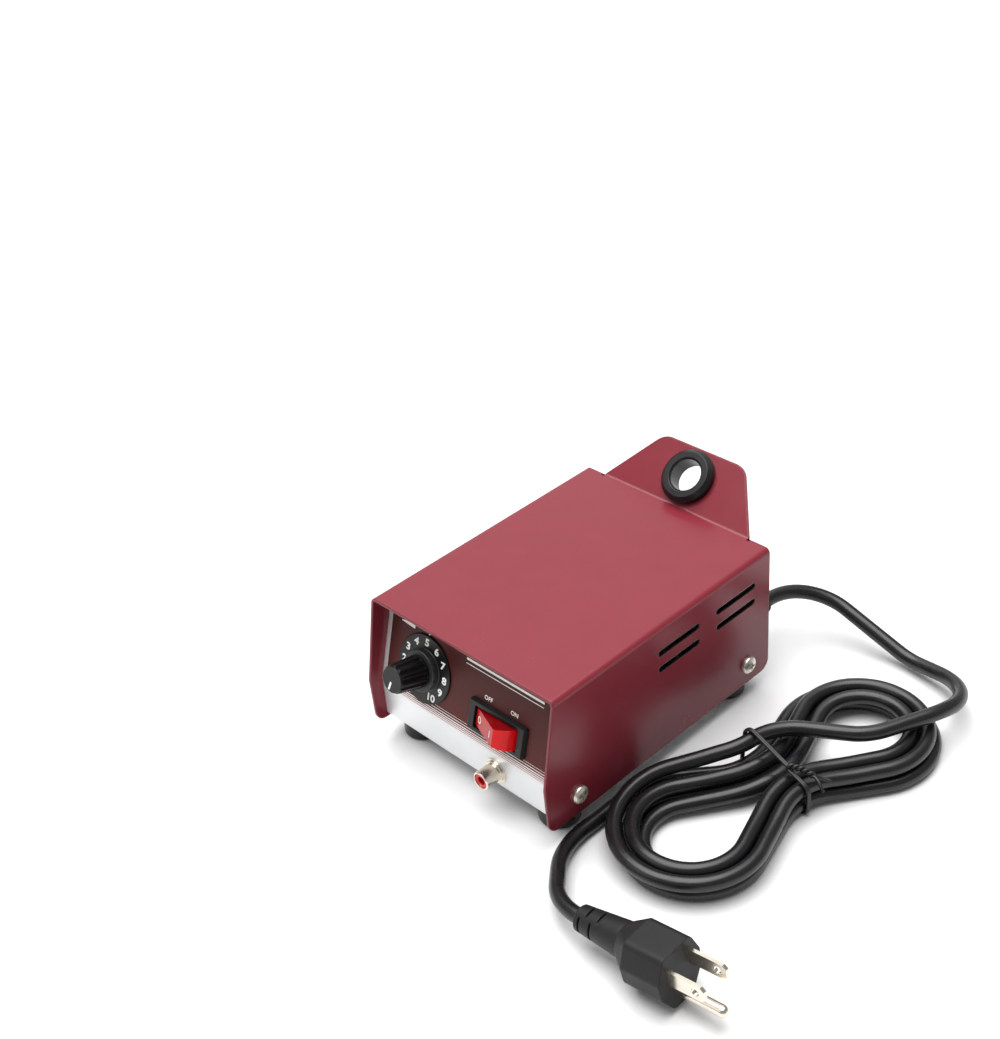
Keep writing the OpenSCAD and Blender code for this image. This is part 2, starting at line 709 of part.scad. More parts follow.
// Room between the chassis flanges, shared by the transformer and the board
room = 2 * (pan_half - sheet);
room_gap = 1.5;
ear = 8;
iron_w = 0.4 * room;
iron_d = 0.6 * iron_w;
iron_h = 0.85 * iron_w;
iron_x = room_gap + ear + iron_w / 2 - room / 2;
iron_y = rear_y - 36;
limb = 0.15 * iron_w;
window = 0.175 * iron_w;
wrap = 0.475 * iron_w;
ear_x = (iron_w + ear + 1) / 2;
board_w = 0.36 * room;
board_d = board_w + 30;
// Board holes in from the edges, their screw heads, and the block between them
hole_in = 4;
board_head = 2.6;
block_w = board_w - 2 * (hole_in + board_head + 0.4);
pole = 0.32 * block_w;
board_x = room / 2 - room_gap - board_w / 2;
board_y = rear_y - 34 - board_d / 2;
board_z = pan_floor + 7;
board_top = board_z + 1.6;

module on_floor(x, y, z = pan_floor) { case_frame() translate([x, y, z]) children(); }

module transformer_core() {
    color("#5d5f62") on_floor(iron_x, iron_y) difference() {
        block(iron_w, iron_d, iron_h);
        for (s = [-1, 1]) translate([s * 1.5 * window, 0, limb])
            block(window, iron_d + 2, iron_h - 2 * limb);
    }
}

module transformer_coil() {
    color("#b9a24c") on_floor(iron_x, iron_y, pan_floor + limb + 0.2) difference() {
        linear_extrude(iron_h - 2 * limb - 0.4) polygon(rounded(
            [[0.2 - 2 * window, -wrap], [2 * window - 0.2, -wrap], [2 * window - 0.2, wrap],
                [0.2 - 2 * window, wrap]], [4, 4, 4, 4]));
        translate([0, 0, -cut]) block(2 * window + 0.1, iron_d + 0.1, iron_h);
    }
}

module transformer_strap() {
    w = iron_w / 2;
    color("#a7abad") on_floor(iron_x, iron_y + 8) rotate([90, 0, 0]) difference() {
        linear_extrude(16) polygon([[w, 0], [w + ear, 0], [w + ear, 1], [w + 1, 1],
            [w + 1, iron_h + 1], [-w - 1, iron_h + 1], [-w - 1, 1], [-w - ear, 1], [-w - ear, 0],
            [-w, 0], [-w, iron_h], [w, iron_h]]);
        for (s = [-1, 1]) translate([s * ear_x, -cut, 8]) rotate([-90, 0, 0])
            cylinder(h = 4, r = 1.5);
    }
}

module transformer_screws() {
    color("#b9b9b4") for (s = [-1, 1]) on_floor(iron_x + s * ear_x, iron_y, pan_floor + 1) {
        pan_head(2.8, 1.9);
        translate([0, 0, -4]) cylinder(h = 4, r = 1.45);
    }
}

module board_corners() {
    for (s = [-1, 1], t = [-1, 1])
        translate([s * (board_w / 2 - hole_in), t * (board_d / 2 - hole_in), 0]) children();
}

module circuit_board() {
    color("#3f6b3a") on_floor(board_x, board_y, board_z) difference() {
        block(board_w, board_d, 1.6);
        board_corners() translate([0, 0, -cut]) cylinder(h = 4, r = 1.4);
    }
}

module board_standoffs() {
    color("#c3a85a") on_floor(board_x, board_y) board_corners() difference() {
        cylinder(h = board_z - pan_floor, r = 3);
        translate([0, 0, 1]) cylinder(h = 10, r = 1.3);
    }
}

module board_screws() {
    color("#b9b9b4") on_floor(board_x, board_y, board_top) board_corners() {
        pan_head(board_head, 1.8);
        translate([0, 0, -6]) cylinder(h = 6, r = 1.25);
    }
}

module triac() {
    color("#2a2a2c") on_floor(board_x + 5, board_y - 10, board_top) {
        translate([0, 0, 3]) block(4.4, 10, 9);
        translate([1.55, 0, 12]) block(1.3, 10, 6);
        for (s = [-1, 0, 1]) translate([0, 2.54 * s, 0]) block(0.6, 0.8, 3);
    }
}

module heat_sink() {
    color("#9da1a3") on_floor(board_x + 7.2, board_y - 10, board_top) {
        translate([1, 0, 0]) block(2, 26, 24);
        for (k = [-2:2]) translate([5.5, 6 * k, 0]) block(8, 1.4, 24);
    }
}

module capacitor() {
    color("#2c4a7a") on_floor(board_x - 8, board_y - 14, board_top) rotate_extrude()
        polygon([[0, 0], [6.3, 0], [6.8, 0.5], [6.8, 17.5], [6.3, 18], [0, 18]]);
}

module terminal_block() {
    color("#3c7d5c") on_floor(board_x, board_y + 22, board_top) difference() {
        block(block_w, 9, 10);
        for (s = [-1, 0, 1]) translate([pole * s, 0, 6]) cylinder(h = 5, r = 2);
    }
}

// Inner wires

function panel_point(x, u, o) = [x, -panel_out + u * sin(panel_lean) - o * cos(panel_lean),
    panel_bend + u * cos(panel_lean) + o * sin(panel_lean)];
wire_r = 1;
stub_y = rear_y - 14;
block_y = board_y + 26.5;
// Ends of the switch's terminals
switch_back = -panel_out + switch_u * sin(panel_lean) + (switch_depth + 8) * cos(panel_lean);

module wire(p) { case_frame() tube(route(p, [for (q = p) 3]), wire_r, 8); }

module wires_mains() {
    color("#2a2a2a") for (s = [-1, 1]) wire([[exit_x + 1.6 * s, stub_y, exit_z],
        [exit_x + 1.6 * s, stub_y - 9, exit_z], [board_x + pole * s, block_y + 6, board_top + 3],
        [board_x + pole * s, block_y, board_top + 3]]);
}

module wires_output() {
    coil = iron_y - wrap;
    color("#b02a25") {
        wire([[iron_x + 4, coil, 18], [iron_x + 4, coil - 20, 18], [4, 27, 13],
            [jack_x, 19, jack_z], [jack_x, 11 - panel_out, jack_z]]);
        wire([[iron_x - 4, coil, 18], [iron_x - 4, coil - 24, 18], [-6, 22, 12],
            [jack_x - 9, 10, jack_z], [jack_x - 9, sheet + 0.6 - panel_out, jack_z]]);
    }
}

module wires_dial() {
    color("#c9c3a4") for (s = [0, 1]) let (e = panel_point(5 * s - dial_x, dial_u - can_r - 3.5, -sheet - 8))
        wire([e + [0, wire_r, 0], e + [0, 18 - 6 * s, 8 - 6 * s], [4, switch_back + 6.5 - 7 * s, 30 - 6 * s],
            [board_x - 8, board_y - 26 - 3 * s, board_top + 3],
            [board_x - 2, board_y - 26 - 3 * s, board_top + wire_r]]);
}

// Strain relief and the cord inside it

cord_r = cord_d / 2;

module strain_relief() {
    tip = cord_r + 1.4;
    ribs = 5;
    base = 3.2;
    rib = (relief_len - base - 0.8) / ribs;
    color("#141414") on_rear(exit_x, exit_z) rotate_extrude() polygon(concat(
        [[cord_r + 0.05, -sheet - 4], [relief_r, -sheet - 4], [relief_r, 0], [relief_r + 2, 0],
            [relief_r + 2, base - 0.6], [relief_r + 1.4, base]],
        [for (k = [0:ribs - 1]) let (z = base + k * rib, r = tip + 2 * (1 - k / ribs))
            each [[r, z], [r - 0.1, z + 0.62 * rib], [r - 1, z + 0.68 * rib], [r - 1, z + 0.94 * rib]]],
        [[tip - 0.1, relief_len - 0.8], [tip - 0.1, relief_len], [cord_r + 0.05, relief_len]]));
}

module relief_clip() {
    color("#2b2b2d") on_rear(exit_x, exit_z) translate([0, 0, -sheet - 2]) difference() {
        cylinder(h = 2, r = relief_r + 2.5);
        translate([0, 0, -cut]) cylinder(h = 4, r = relief_r + 0.02);
    }
}

module cord_stub() {
    color("#191919") on_rear(exit_x, exit_z) translate([0, 0, -14])
        cylinder(h = 14 + relief_len, r = cord_r);
}

// Power cord: the lead, the tied hank and the tail to the plug

// Middle of the hank, and the turn of its long axis
hank_x = cover_w / 2 + 47.5;
hank_y = cover_d - 54;
hank_turn = 81;
along = [cos(hank_turn), sin(hank_turn), 0];
far = [-sin(hank_turn), cos(hank_turn), 0];
// Fold centres, outer fold radius, waist and its bend
fold_s = 46.5;
fold_r = 3 * cord_d + 1.75 * hank_step;
waist = 16.1;
waist_r = 4 * cord_d + 2;
turns = 4;
rings = 30;
// Heights of the two layers and of the crossing lead
layer = cord_d + 0.5;
low_z = cord_r + 0.05;
high_z = low_z + layer;
over_z = high_z + layer;
// The waist is raised over the tie, and the last turn flares out of it
tie_gap = 0.35;
tie_t = 0.9;
waist_lift = 1.3;
flare = 1.6;

// A quarter of the outermost loop, by its length: place and outward direction
apart = norm([fold_s, waist + waist_r]);
splay = 180 - atan2(waist + waist_r, fold_s) - acos((fold_r + waist_r) / apart) - 90;
part_a = waist_r * splay * PI / 180;
part_b = sqrt(apart * apart - pow(fold_r + waist_r, 2));
part_c = fold_r * (90 + splay) * PI / 180;
quarter_len = part_a + part_b + part_c;
function quarter(e) = e < part_a
    ? let (t = e / waist_r * 180 / PI)
        [-waist_r * sin(t), waist + waist_r - waist_r * cos(t), sin(t), cos(t)]
    : e < part_a + part_b
    ? let (d = e - part_a)
        [-waist_r * sin(splay) - d * cos(splay),
            waist + waist_r - waist_r * cos(splay) + d * sin(splay), sin(splay), cos(splay)]
    : let (t = 90 - splay + (e - part_a - part_b) / fold_r * 180 / PI)
        [-fold_s + fold_r * cos(t), fold_r * sin(t), cos(t), sin(t)];
function loop(f) = let (e = (f - floor(f)) * 4, k = floor(e), d = (e - k) * quarter_len,
    q = k % 2 == 0 ? quarter(d) : quarter(quarter_len - d))
    k == 0 ? q : k == 1 ? [q[0], -q[1], q[2], -q[3]] : k == 2 ? -q : [-q[0], q[1], -q[2], q[3]];

// The turns spiral in on the upper layer and out again on the lower one
function inward(t) = (t < turns / 2 ? t : turns - t) * hank_step - flare * smooth((t - turns + 0.25) / 0.25);
function layer_z(t) = over_z - layer * smooth(t / 0.22)
    - layer * smooth((t - turns / 2 + 0.25) / 0.5);
function hank_point(t) = let (q = loop(t), s = q[0] - q[2] * inward(t), w = q[1] - q[3] * inward(t))
    [hank_x, hank_y, 0] + s * along + w * far
    + [0, 0, layer_z(t) + waist_lift * smooth(1 - abs(s) / 26)];
hank = [for (i = [0:turns * rings]) hank_point(i / rings)];
fine = [for (i = [0:turns * 60]) hank_point(i / 60)];

// The plug lies on its lower flank, nose up
plug_at = [cover_w / 2 + 85.7, -29.9, 18.7];
plug_pitch = 8;
plug_yaw = 2.5;
neck_z = -0.6;
function plug_point(x, z) = plug_at
    + x * [cos(plug_pitch) * cos(plug_yaw), cos(plug_pitch) * sin(plug_yaw), sin(plug_pitch)]
    + z * [-sin(plug_pitch) * cos(plug_yaw), -sin(plug_pitch) * sin(plug_yaw), cos(plug_pitch)];

bend = 4 * cord_d;
wide_bend = 5.5 * cord_d;
lead = route([[exit_x, rear_y + relief_len, exit_z + lift], [exit_x, rear_y + relief_len + 29, exit_z + lift],
    [hank_x - 6, hank_y + 101, 4.5], [hank_x + 33.5, hank_y + 95, 11],
    [hank_x + 31, hank_y + 65, over_z + 0.8], [hank_x + 18, hank_y + 35, over_z + 1],
    hank[0] + 13 * along, hank[0]], [0, bend, bend, bend, bend, bend, bend, 0]);
tail_x = cover_w / 2 + 4.2;
tail = route([hank[turns * rings], hank[turns * rings] - 9 * along, [tail_x, hank_y - 31, 3.8],
    [tail_x, 18, 3.5], [tail_x, -6, 3.9], plug_point(-plug_len - 13, neck_z),
    plug_point(-plug_len, neck_z)], [0, bend, bend, bend, wide_bend, bend, 0]);
function length(p) = [for (i = [1:len(p) - 1]) norm(p[i] - p[i - 1])] * [for (i = [1:len(p) - 1]) 1];

module floor_frame() { translate([0, front_y, 0]) children(); }

module cord_lead() { color("#191919") floor_frame() tube(lead, cord_r, 10, last = -along); }

module cord_hank() {
    color("#191919") floor_frame() tube(hank, cord_r, 6, -along, -along);
}

module cord_tail() { color("#191919") floor_frame() tube(tail, cord_r, 10, first = -along); }

module tie_outline(r) {
    near = hank_step / 2 - waist;
    hull() for (p = [[waist + flare, low_z], [waist, over_z], [near, low_z], [near, high_z]])
        translate(p + [0, waist_lift]) circle(r = r, $fn = 32);
}

module cord_tie() {
    color("#101010") floor_frame() translate([hank_x, hank_y, 0]) rotate([0, 0, hank_turn]) {
        rotate([90, 0, 90]) translate([0, 0, -1.1]) linear_extrude(2.2) difference() {
            tie_outline(cord_r + tie_gap + tie_t);
            tie_outline(cord_r + tie_gap);
        }
        translate([0, -6, high_z + waist_lift + cord_r + 1.5]) rotate([76, 0, 25])
            rotate_extrude($fn = 24) polygon(concat([[0, 0]], [for (k = [0:8])
                each [[0.75, 1.8 * k], [1.05, 1.8 * k + 0.9]]], [[0, 15.3]]));
    }
}

module plug_frame() {
    floor_frame() translate(plug_at) rotate([0, -plug_pitch, plug_yaw]) children();
}

module plug_face_outline() {
    polygon(rounded([[7.8, 8], [-7.8, 8], [-11.8, -1], [-11.2, -8], [-5.5, -16.3], [5.5, -16.3],
        [11.2, -8], [11.8, -1]], [3, 3, 3.5, 3.5, 3.5, 3.5, 3.5, 3.5], 4));
}

module plug_slab(x, t) { translate([x, 0, 0]) rotate([90, 0, 90]) linear_extrude(t) plug_face_outline(); }

module plug_body() {
    neck = 21;
    face = 17;
    neck_tip = cord_r + 2;
    neck_root = cord_r + 3.9;
    slit = 1.1;
    color("#171717") plug_frame() difference() {
        union() {
            translate([-plug_len, 0, neck_z]) rotate([0, 90, 0]) rotate_extrude() polygon([[0, 0],
                [neck_tip - 0.6, 0], [neck_tip, 0.6], [neck_root, neck], [neck_root, neck + 4], [0, neck + 4]]);
            hull() {
                plug_slab(-face - 0.5, 1);
                translate([neck - plug_len + 1, 0, neck_z]) rotate([0, 90, 0])
                    cylinder(h = 1, r = neck_root, $fn = 32);
            }
            plug_slab(-face, face);
        }
        for (k = [0:3], s = [-1, 1]) translate([3 + 2.9 * k - plug_len, 0, neck_z])
            rotate([k % 2 == 0 ? 0 : 90, 0, 0]) translate([0, s * (neck_tip + 3 + 0.25 * k), -8])
                block(slit, 10 - 2 * (k % 2), 16);
        for (s = [-1, 1]) translate([-5, s * blade_gap / 2, -3.2]) block(10.04, 1.54, 6.39);
        translate([-5, 0, -11.9]) rotate([0, 90, 0]) cylinder(h = 10, r = 2.02);
    }
}

module plug_blades() {
    color("#d2cfc4") plug_frame() for (s = [-1, 1])
        translate([0, s * blade_gap / 2 + 0.75, 0]) rotate([90, 0, 0]) difference() {
            linear_extrude(1.5) polygon([[-5, -3.175], [15, -3.175], [16.5, -1.8], [16.5, 1.8],
                [15, 3.175], [-5, 3.175]]);
            translate([12.5, 0, -cut]) cylinder(h = 4, r = 1.6);
        }
}

module plug_ground_pin() {
    color("#d2cfc4") plug_frame() translate([-5, 0, -11.9]) rotate([0, 90, 0]) rotate_extrude()
        polygon(concat([[0, 0], [2, 0], [2, 5], [2.4, 5]],
            [for (a = [0:15:90]) [2.4 * cos(a), 22.3 + 2.4 * sin(a)]]));
}

union() {  // cord_hank
    gaps = [for (i = [0:len(fine) - 1], j = [i + 20:1:len(fine) - 1]) norm(fine[i] - fine[j]) - cord_d];
    echo(least_gap_of_the_hank = min(gaps));
    echo(lead = length(lead), hank = length(fine), tail = length(tail));
}

cover();
chassis();
front_overlay();
cover_screws();
holder_grommet();
feet();
foot_screws();
foot_nuts();
dial_skirt();
dial_knob();
knob_cap();
dial_pointer();
knob_insert();
knob_set_screw();
pot_shaft();
pot_bushing();
pot_nut();
pot_washer();
pot_body();
pot_terminals();
switch_housing();
switch_rocker();
switch_terminals();
jack_shell();
jack_washer();
jack_insulator();
jack_contact();
jack_nut();
jack_lug();
transformer_core();
transformer_coil();
transformer_strap();
transformer_screws();
circuit_board();
board_standoffs();
board_screws();
triac();
heat_sink();
capacitor();
terminal_block();
wires_mains();
wires_output();
wires_dial();
strain_relief();
relief_clip();
cord_stub();
cord_lead();
cord_hank();
cord_tie();
cord_tail();
plug_body();
plug_blades();
plug_ground_pin();
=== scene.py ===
"""Bench wax welder: finishes, cord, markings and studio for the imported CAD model.

Every piece is in metres in the model's own frame. Sizes named here in millimetres
repeat those of the CAD source, because this script reads nothing but the model.
"""
import json

import bpy
import numpy as np
from mathutils import Matrix


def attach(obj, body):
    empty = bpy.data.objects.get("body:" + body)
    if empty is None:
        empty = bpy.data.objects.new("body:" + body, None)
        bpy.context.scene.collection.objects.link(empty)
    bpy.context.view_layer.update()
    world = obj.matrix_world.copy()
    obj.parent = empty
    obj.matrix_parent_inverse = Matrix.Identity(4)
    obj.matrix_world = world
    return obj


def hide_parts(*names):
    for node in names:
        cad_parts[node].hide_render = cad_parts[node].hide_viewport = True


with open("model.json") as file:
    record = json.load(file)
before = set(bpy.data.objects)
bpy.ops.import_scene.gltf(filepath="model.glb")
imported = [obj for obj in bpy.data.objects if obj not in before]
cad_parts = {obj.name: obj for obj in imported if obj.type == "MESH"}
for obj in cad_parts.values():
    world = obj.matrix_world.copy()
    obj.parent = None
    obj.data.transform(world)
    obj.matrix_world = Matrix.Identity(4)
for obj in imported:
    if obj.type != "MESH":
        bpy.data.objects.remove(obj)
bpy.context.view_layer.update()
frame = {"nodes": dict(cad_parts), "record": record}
cad = frame["nodes"]
scene = bpy.context.scene

# Sizes of the case in millimetres
MM = 0.001
CASE_FRONT = -68.48921
CASE_LIFT = 8.5
COVER_W, COVER_D = 105.0, 131.0
REAR_Y = 129.0
PANEL_OUT, PANEL_BEND, PANEL_LEAN = 1.3, 21.8, np.radians(16.13)
FILM = 0.25
VENT_START, VENT_LEN, VENT_STEP = 59.5, 25.2, 36.2
VENT_Z, VENT_RISE, VENT_W = 41.8, 8.0, 2.6
DIAL_X, DIAL_U, SKIRT_Z, SKIRT_R = -25.9, 15.8, 1.2, 15.3
SWITCH_X, SWITCH_U = 18.5, 9.8
PIVOT_Z, ROCKER_FACE, ROCKER_TILT = 2.2, 8.0, np.radians(24.4)
CORD_D = 6.5
CORD_R = CORD_D / 2
RELIEF_LEN, RELIEF_X, RELIEF_Z = 20.0, 35.5, 16 + CASE_LIFT
UP = np.array([0, 0, 1.0])


# Camera

def photo_camera(place, azimuth, elevation, roll, lens):
    """A camera at place that looks back along its own direction: azimuth turns it about
    +Z from the front, elevation lifts it, and roll turns the picture about the view."""
    a, e, r = np.radians([azimuth, elevation, roll])
    back = np.array([np.sin(a) * np.cos(e), -np.cos(a) * np.cos(e), np.sin(e)])
    right = np.cross(-back, UP)
    right /= np.linalg.norm(right)
    up = np.cross(back, right)
    turned = np.eye(4)
    turned[:3, 0] = np.cos(r) * right + np.sin(r) * up
    turned[:3, 1] = np.cos(r) * up - np.sin(r) * right
    turned[:3, 2] = back
    turned[:3, 3] = place
    data = bpy.data.cameras.new("photo_camera")
    data.lens, data.sensor_width, data.sensor_fit = lens, 36.0, "AUTO"
    data.clip_start, data.clip_end = 0.01, 50.0
    camera = bpy.data.objects.new("photo_camera", data)
    scene.collection.objects.link(camera)
    camera.matrix_world = Matrix(turned.tolist())
    scene.camera = camera


photo_camera(place=(0.39379, -0.388929, 0.46559), azimuth=48.460, elevation=33.488, roll=-5.252, lens=56.245)


# Mesh helpers

def unit(v):
    """v divided by its own length, along the last axis."""
    return v / np.linalg.norm(v, axis=-1, keepdims=True)


def smooth_step(t):
    """0 below 0, 1 above 1, and t squared times three minus two t between them."""
    t = np.clip(t, 0.0, 1.0)
    return t * t * (3 - 2 * t)


def circle(count):
    """count points evenly round a circle of radius 1, and their angles."""
    turn = 2 * np.pi * np.arange(count) / count
    return np.stack([np.cos(turn), np.sin(turn)], -1), turn


def even_line(points, step):
    """The same line with points a step apart: each coordinate read off against length."""
    run = np.concatenate([[0], np.cumsum(np.linalg.norm(np.diff(points, axis=0), axis=1))])
    at = np.linspace(0, run[-1], int(np.ceil(run[-1] / step)) + 1)
    return np.stack([np.interp(at, run, points[:, i]) for i in range(3)], axis=1), run[-1]


def new_piece(name, points, faces, body):
    """An object at the origin from an array of points and a list of faces."""
    mesh = bpy.data.meshes.new(name)
    mesh.from_pydata(points.reshape(-1, 3).tolist(), [], faces)
    mesh.update()
    piece = bpy.data.objects.new(name, mesh)
    scene.collection.objects.link(piece)
    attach(piece, body)
    return piece


def tube_piece(name, rings, body, uv=None):
    """A smooth closed tube from rings of points. Each quad joins a point to the next in
    its ring and to both in the next ring, and a cap closes each end. uv holds one pair a
    point, spread to the corners of the faces."""
    rows, cols = rings.shape[:2]
    r = np.arange(rows - 1)[:, None] * cols
    c = np.arange(cols)[None, :]
    ahead = (c + 1) % cols
    quads = np.stack([r + c, r + ahead, r + cols + ahead, r + cols + c], -1).reshape(-1, 4)
    caps = [list(range(cols))[::-1], list(range((rows - 1) * cols, rows * cols))]
    piece = new_piece(name, rings, quads.tolist() + caps, body)
    mesh = piece.data
    if uv is not None:
        corner = np.empty(len(mesh.loops), dtype=np.int32)
        mesh.loops.foreach_get("vertex_index", corner)
        pairs = uv.reshape(-1, 2)[corner].astype(np.float32)
        mesh.uv_layers.new(name="run").data.foreach_set("uv", pairs.ravel())
    mesh.polygons.foreach_set("use_smooth", np.full(len(mesh.polygons), True))
    mesh.update()
    return piece


def carried_frame(line):
    """Side and top directions along a line that turn as little as they can: each side is
    the one before it with what points along the line taken off."""
    along = unit(np.gradient(line, axis=0))
    side = np.empty_like(line)
    start = np.cross(along[0], UP)
    side[0] = unit(start if np.linalg.norm(start) > 0.1 else np.cross(along[0], [1.0, 0, 0]))
    for i in range(1, len(line)):
        side[i] = unit(side[i - 1] - along[i] * (side[i - 1] @ along[i]))
    return side, np.cross(side, along)


def carried_profile(line, side, top, profile):
    """Points of a profile carried along a line: at each point of the line, the profile's
    first number goes along side and its second along top."""
    return line[:, None, :] + profile[..., 0:1] * side[:, None, :] + profile[..., 1:2] * top[:, None, :]


# Power cord: lead, tied hank and tail as one line, in millimetres over the floor

HANK_AT = np.array([COVER_W / 2 + 47.5, COVER_D - 54, 0.0])
HANK_TURN = np.radians(81)
ALONG = np.array([np.cos(HANK_TURN), np.sin(HANK_TURN), 0.0])
FAR = np.array([-np.sin(HANK_TURN), np.cos(HANK_TURN), 0.0])
HANK_STEP, TURNS, FOLD_S, WAIST = 7.1, 4, 46.5, 16.1
FOLD_R = 3 * CORD_D + 1.75 * HANK_STEP
WAIST_R = 4 * CORD_D + 2
LAYER = CORD_D + 0.5
LOW_Z = CORD_R + 0.05
OVER_Z = LOW_Z + 2 * LAYER
WAIST_LIFT, LIFT_SPAN, FLARE = 1.3, 26.0, 1.6
FIRST_DROP, CHANGE_DROP, FLARE_END = 0.22, 0.5, 0.25
BEND_R, PLUG_BEND_R = 4 * CORD_D, 5.5 * CORD_D
PLUG_AT = np.array([COVER_W / 2 + 85.7, -29.9, 18.7])
PLUG_PITCH, PLUG_YAW, PLUG_LEN, NECK_Z = np.radians(8), np.radians(2.5), 46.0, -0.6
CORD_STEP, CORD_SIDES, CORE_SWELL, CORE_LAY = 2.0, 20, 0.006, 70.0
HANK_POINTS, ARC_STEP = 1000, 0.07


def hank_line(t):
    """Centreline of the hank at turn t. A quarter of the outer loop is a waist arc, a
    straight run and a fold arc, read off by length and mirrored into all four quarters.
    The line then moves in by one step a turn for two turns and out again for two, and
    drops by a layer at the start and at the change."""
    apart = np.hypot(FOLD_S, WAIST + WAIST_R)
    splay = np.pi / 2 - np.arctan2(WAIST + WAIST_R, FOLD_S) - np.arccos((FOLD_R + WAIST_R) / apart)
    arc, run = WAIST_R * splay, np.sqrt(apart**2 - (FOLD_R + WAIST_R) ** 2)
    quarter = arc + run + FOLD_R * (np.pi / 2 + splay)
    part = (t - np.floor(t)) * 4
    k = np.floor(part).astype(int)
    d = (part - k) * quarter
    d = np.where(k % 2 == 0, d, quarter - d)
    a = np.minimum(d / WAIST_R, splay)
    b = np.clip(d - arc, 0, run)
    turn = np.where(d < arc + run, a, 0)
    fold = np.pi / 2 - splay + np.maximum(d - arc - run, 0) / FOLD_R
    bent = d > arc + run
    s = np.where(bent, -FOLD_S + FOLD_R * np.cos(fold), -WAIST_R * np.sin(turn) - b * np.cos(splay))
    w = np.where(bent, FOLD_R * np.sin(fold), WAIST + WAIST_R - WAIST_R * np.cos(turn) + b * np.sin(splay))
    out_s = np.where(bent, np.cos(fold), np.sin(turn))
    out_w = np.where(bent, np.sin(fold), np.cos(turn))
    inward = np.where(t < TURNS / 2, t, TURNS - t) * HANK_STEP
    inward = inward - FLARE * smooth_step((t - TURNS + FLARE_END) / FLARE_END)
    s = np.where(k < 2, 1, -1) * (s - out_s * inward)
    w = np.where((k == 0) | (k == 3), 1, -1) * (w - out_w * inward)
    z = OVER_Z - LAYER * smooth_step(t / FIRST_DROP)
    z = z - LAYER * smooth_step((t - TURNS / 2 + CHANGE_DROP / 2) / CHANGE_DROP)
    z = z + WAIST_LIFT * smooth_step(1 - np.abs(s) / LIFT_SPAN)
    return HANK_AT + s[:, None] * ALONG + w[:, None] * FAR + z[:, None] * UP


def bent_line(points, radii):
    """Straight runs between points with each inner corner rounded to its radius: the arc
    touches both runs, and its points turn evenly from one touching point to the other."""
    p = np.array(points, dtype=float)
    line = [p[:1]]
    for before, at, after, radius in zip(p[:-2], p[1:-1], p[2:], radii):
        u, v = unit(before - at), unit(after - at)
        half = np.arccos(np.clip(u @ v, -1, 1)) / 2
        mid = at + unit(u + v) * radius / np.sin(half)
        e0, e1 = at + u * radius / np.tan(half) - mid, at + v * radius / np.tan(half) - mid
        turn = np.pi - 2 * half
        f = np.linspace(0, 1, max(3, int(turn / ARC_STEP)))[:, None]
        line.append(mid + (np.sin(turn * (1 - f)) * e0 + np.sin(turn * f) * e1) / np.sin(turn))
    return np.concatenate(line + [p[-1:]])


def plug_point(x, z):
    """A point x along the plug and z over its axis."""
    cp, sp, cy, sy = np.cos(PLUG_PITCH), np.sin(PLUG_PITCH), np.cos(PLUG_YAW), np.sin(PLUG_YAW)
    return PLUG_AT + x * np.array([cp * cy, cp * sy, sp]) + z * np.array([-sp * cy, -sp * sy, cp])


def cord_route():
    """The whole cord from inside the strain relief to inside the plug's neck."""
    hank = hank_line(np.linspace(0, TURNS, HANK_POINTS))
    relief_end = REAR_Y + RELIEF_LEN
    hx, hy = HANK_AT[:2]
    lead = bent_line([
        (RELIEF_X, relief_end - 6, RELIEF_Z), (RELIEF_X, relief_end + 29, RELIEF_Z),
        (hx - 6, hy + 101, 4.5), (hx + 33.5, hy + 95, 11), (hx + 31, hy + 65, OVER_Z + 0.8),
        (hx + 18, hy + 35, OVER_Z + 1), hank[0] + 13 * ALONG, hank[0]], [BEND_R] * 6)
    tail_x = COVER_W / 2 + 4.2
    tail = bent_line([
        hank[-1], hank[-1] - 9 * ALONG, (tail_x, hy - 31, 3.8), (tail_x, 18, 3.5),
        (tail_x, -6, 3.9), plug_point(-PLUG_LEN - 13, NECK_Z), plug_point(3 - PLUG_LEN, NECK_Z)],
        [BEND_R, BEND_R, BEND_R, PLUG_BEND_R, BEND_R])
    return np.concatenate([lead[:-1], hank, tail[1:]]) + np.array([0, CASE_FRONT, 0])


def make_cord():
    """A round jacket carried along the route. Its radius swells a little where the three
    twisted cores lie under it. UV runs along the length in metres and once round."""
    line, length = even_line(cord_route(), CORD_STEP)
    along = unit(np.gradient(line, axis=0))
    side = unit(np.cross(along, UP))
    top = np.cross(side, along)
    round_points, turn = circle(CORD_SIDES)
    run = np.linspace(0, length, len(line))
    swell = 1 + CORE_SWELL * np.cos(3 * (turn[None, :] - 2 * np.pi * run[:, None] / CORE_LAY))
    rings = carried_profile(line, side, top, CORD_R * swell[..., None] * round_points[None]) * MM
    uv = np.stack(np.broadcast_arrays(run[:, None] * MM, turn[None, :] / (2 * np.pi)), -1)
    return tube_piece("power_cord", rings, "case", uv), line * MM, length * MM


cord, cord_path, cord_length = make_cord()
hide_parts("cord_lead", "cord_hank", "cord_tail")


# Twist wire round the hank's waist

TIE_GAP, TIE_R, TIE_SIDES, TIE_STEP = 0.35, 0.7, 10, 0.5
TIE_HALF_W, TIE_MEET = 0.75, 0.29
END_LEN, END_LIFT, END_BOW, END_DROP = 17.0, 1.1, 2.2, 3.2
END_TURNS, WOUND, SPREAD_FROM = 2.6, 0.66, 0.62
END_R, END_SPREAD, END_SLANT = 0.78, 3.4, 0.35
WRAP_POINTS, WRAP_OPEN, END_POINTS = 4000, 1e-4, 120


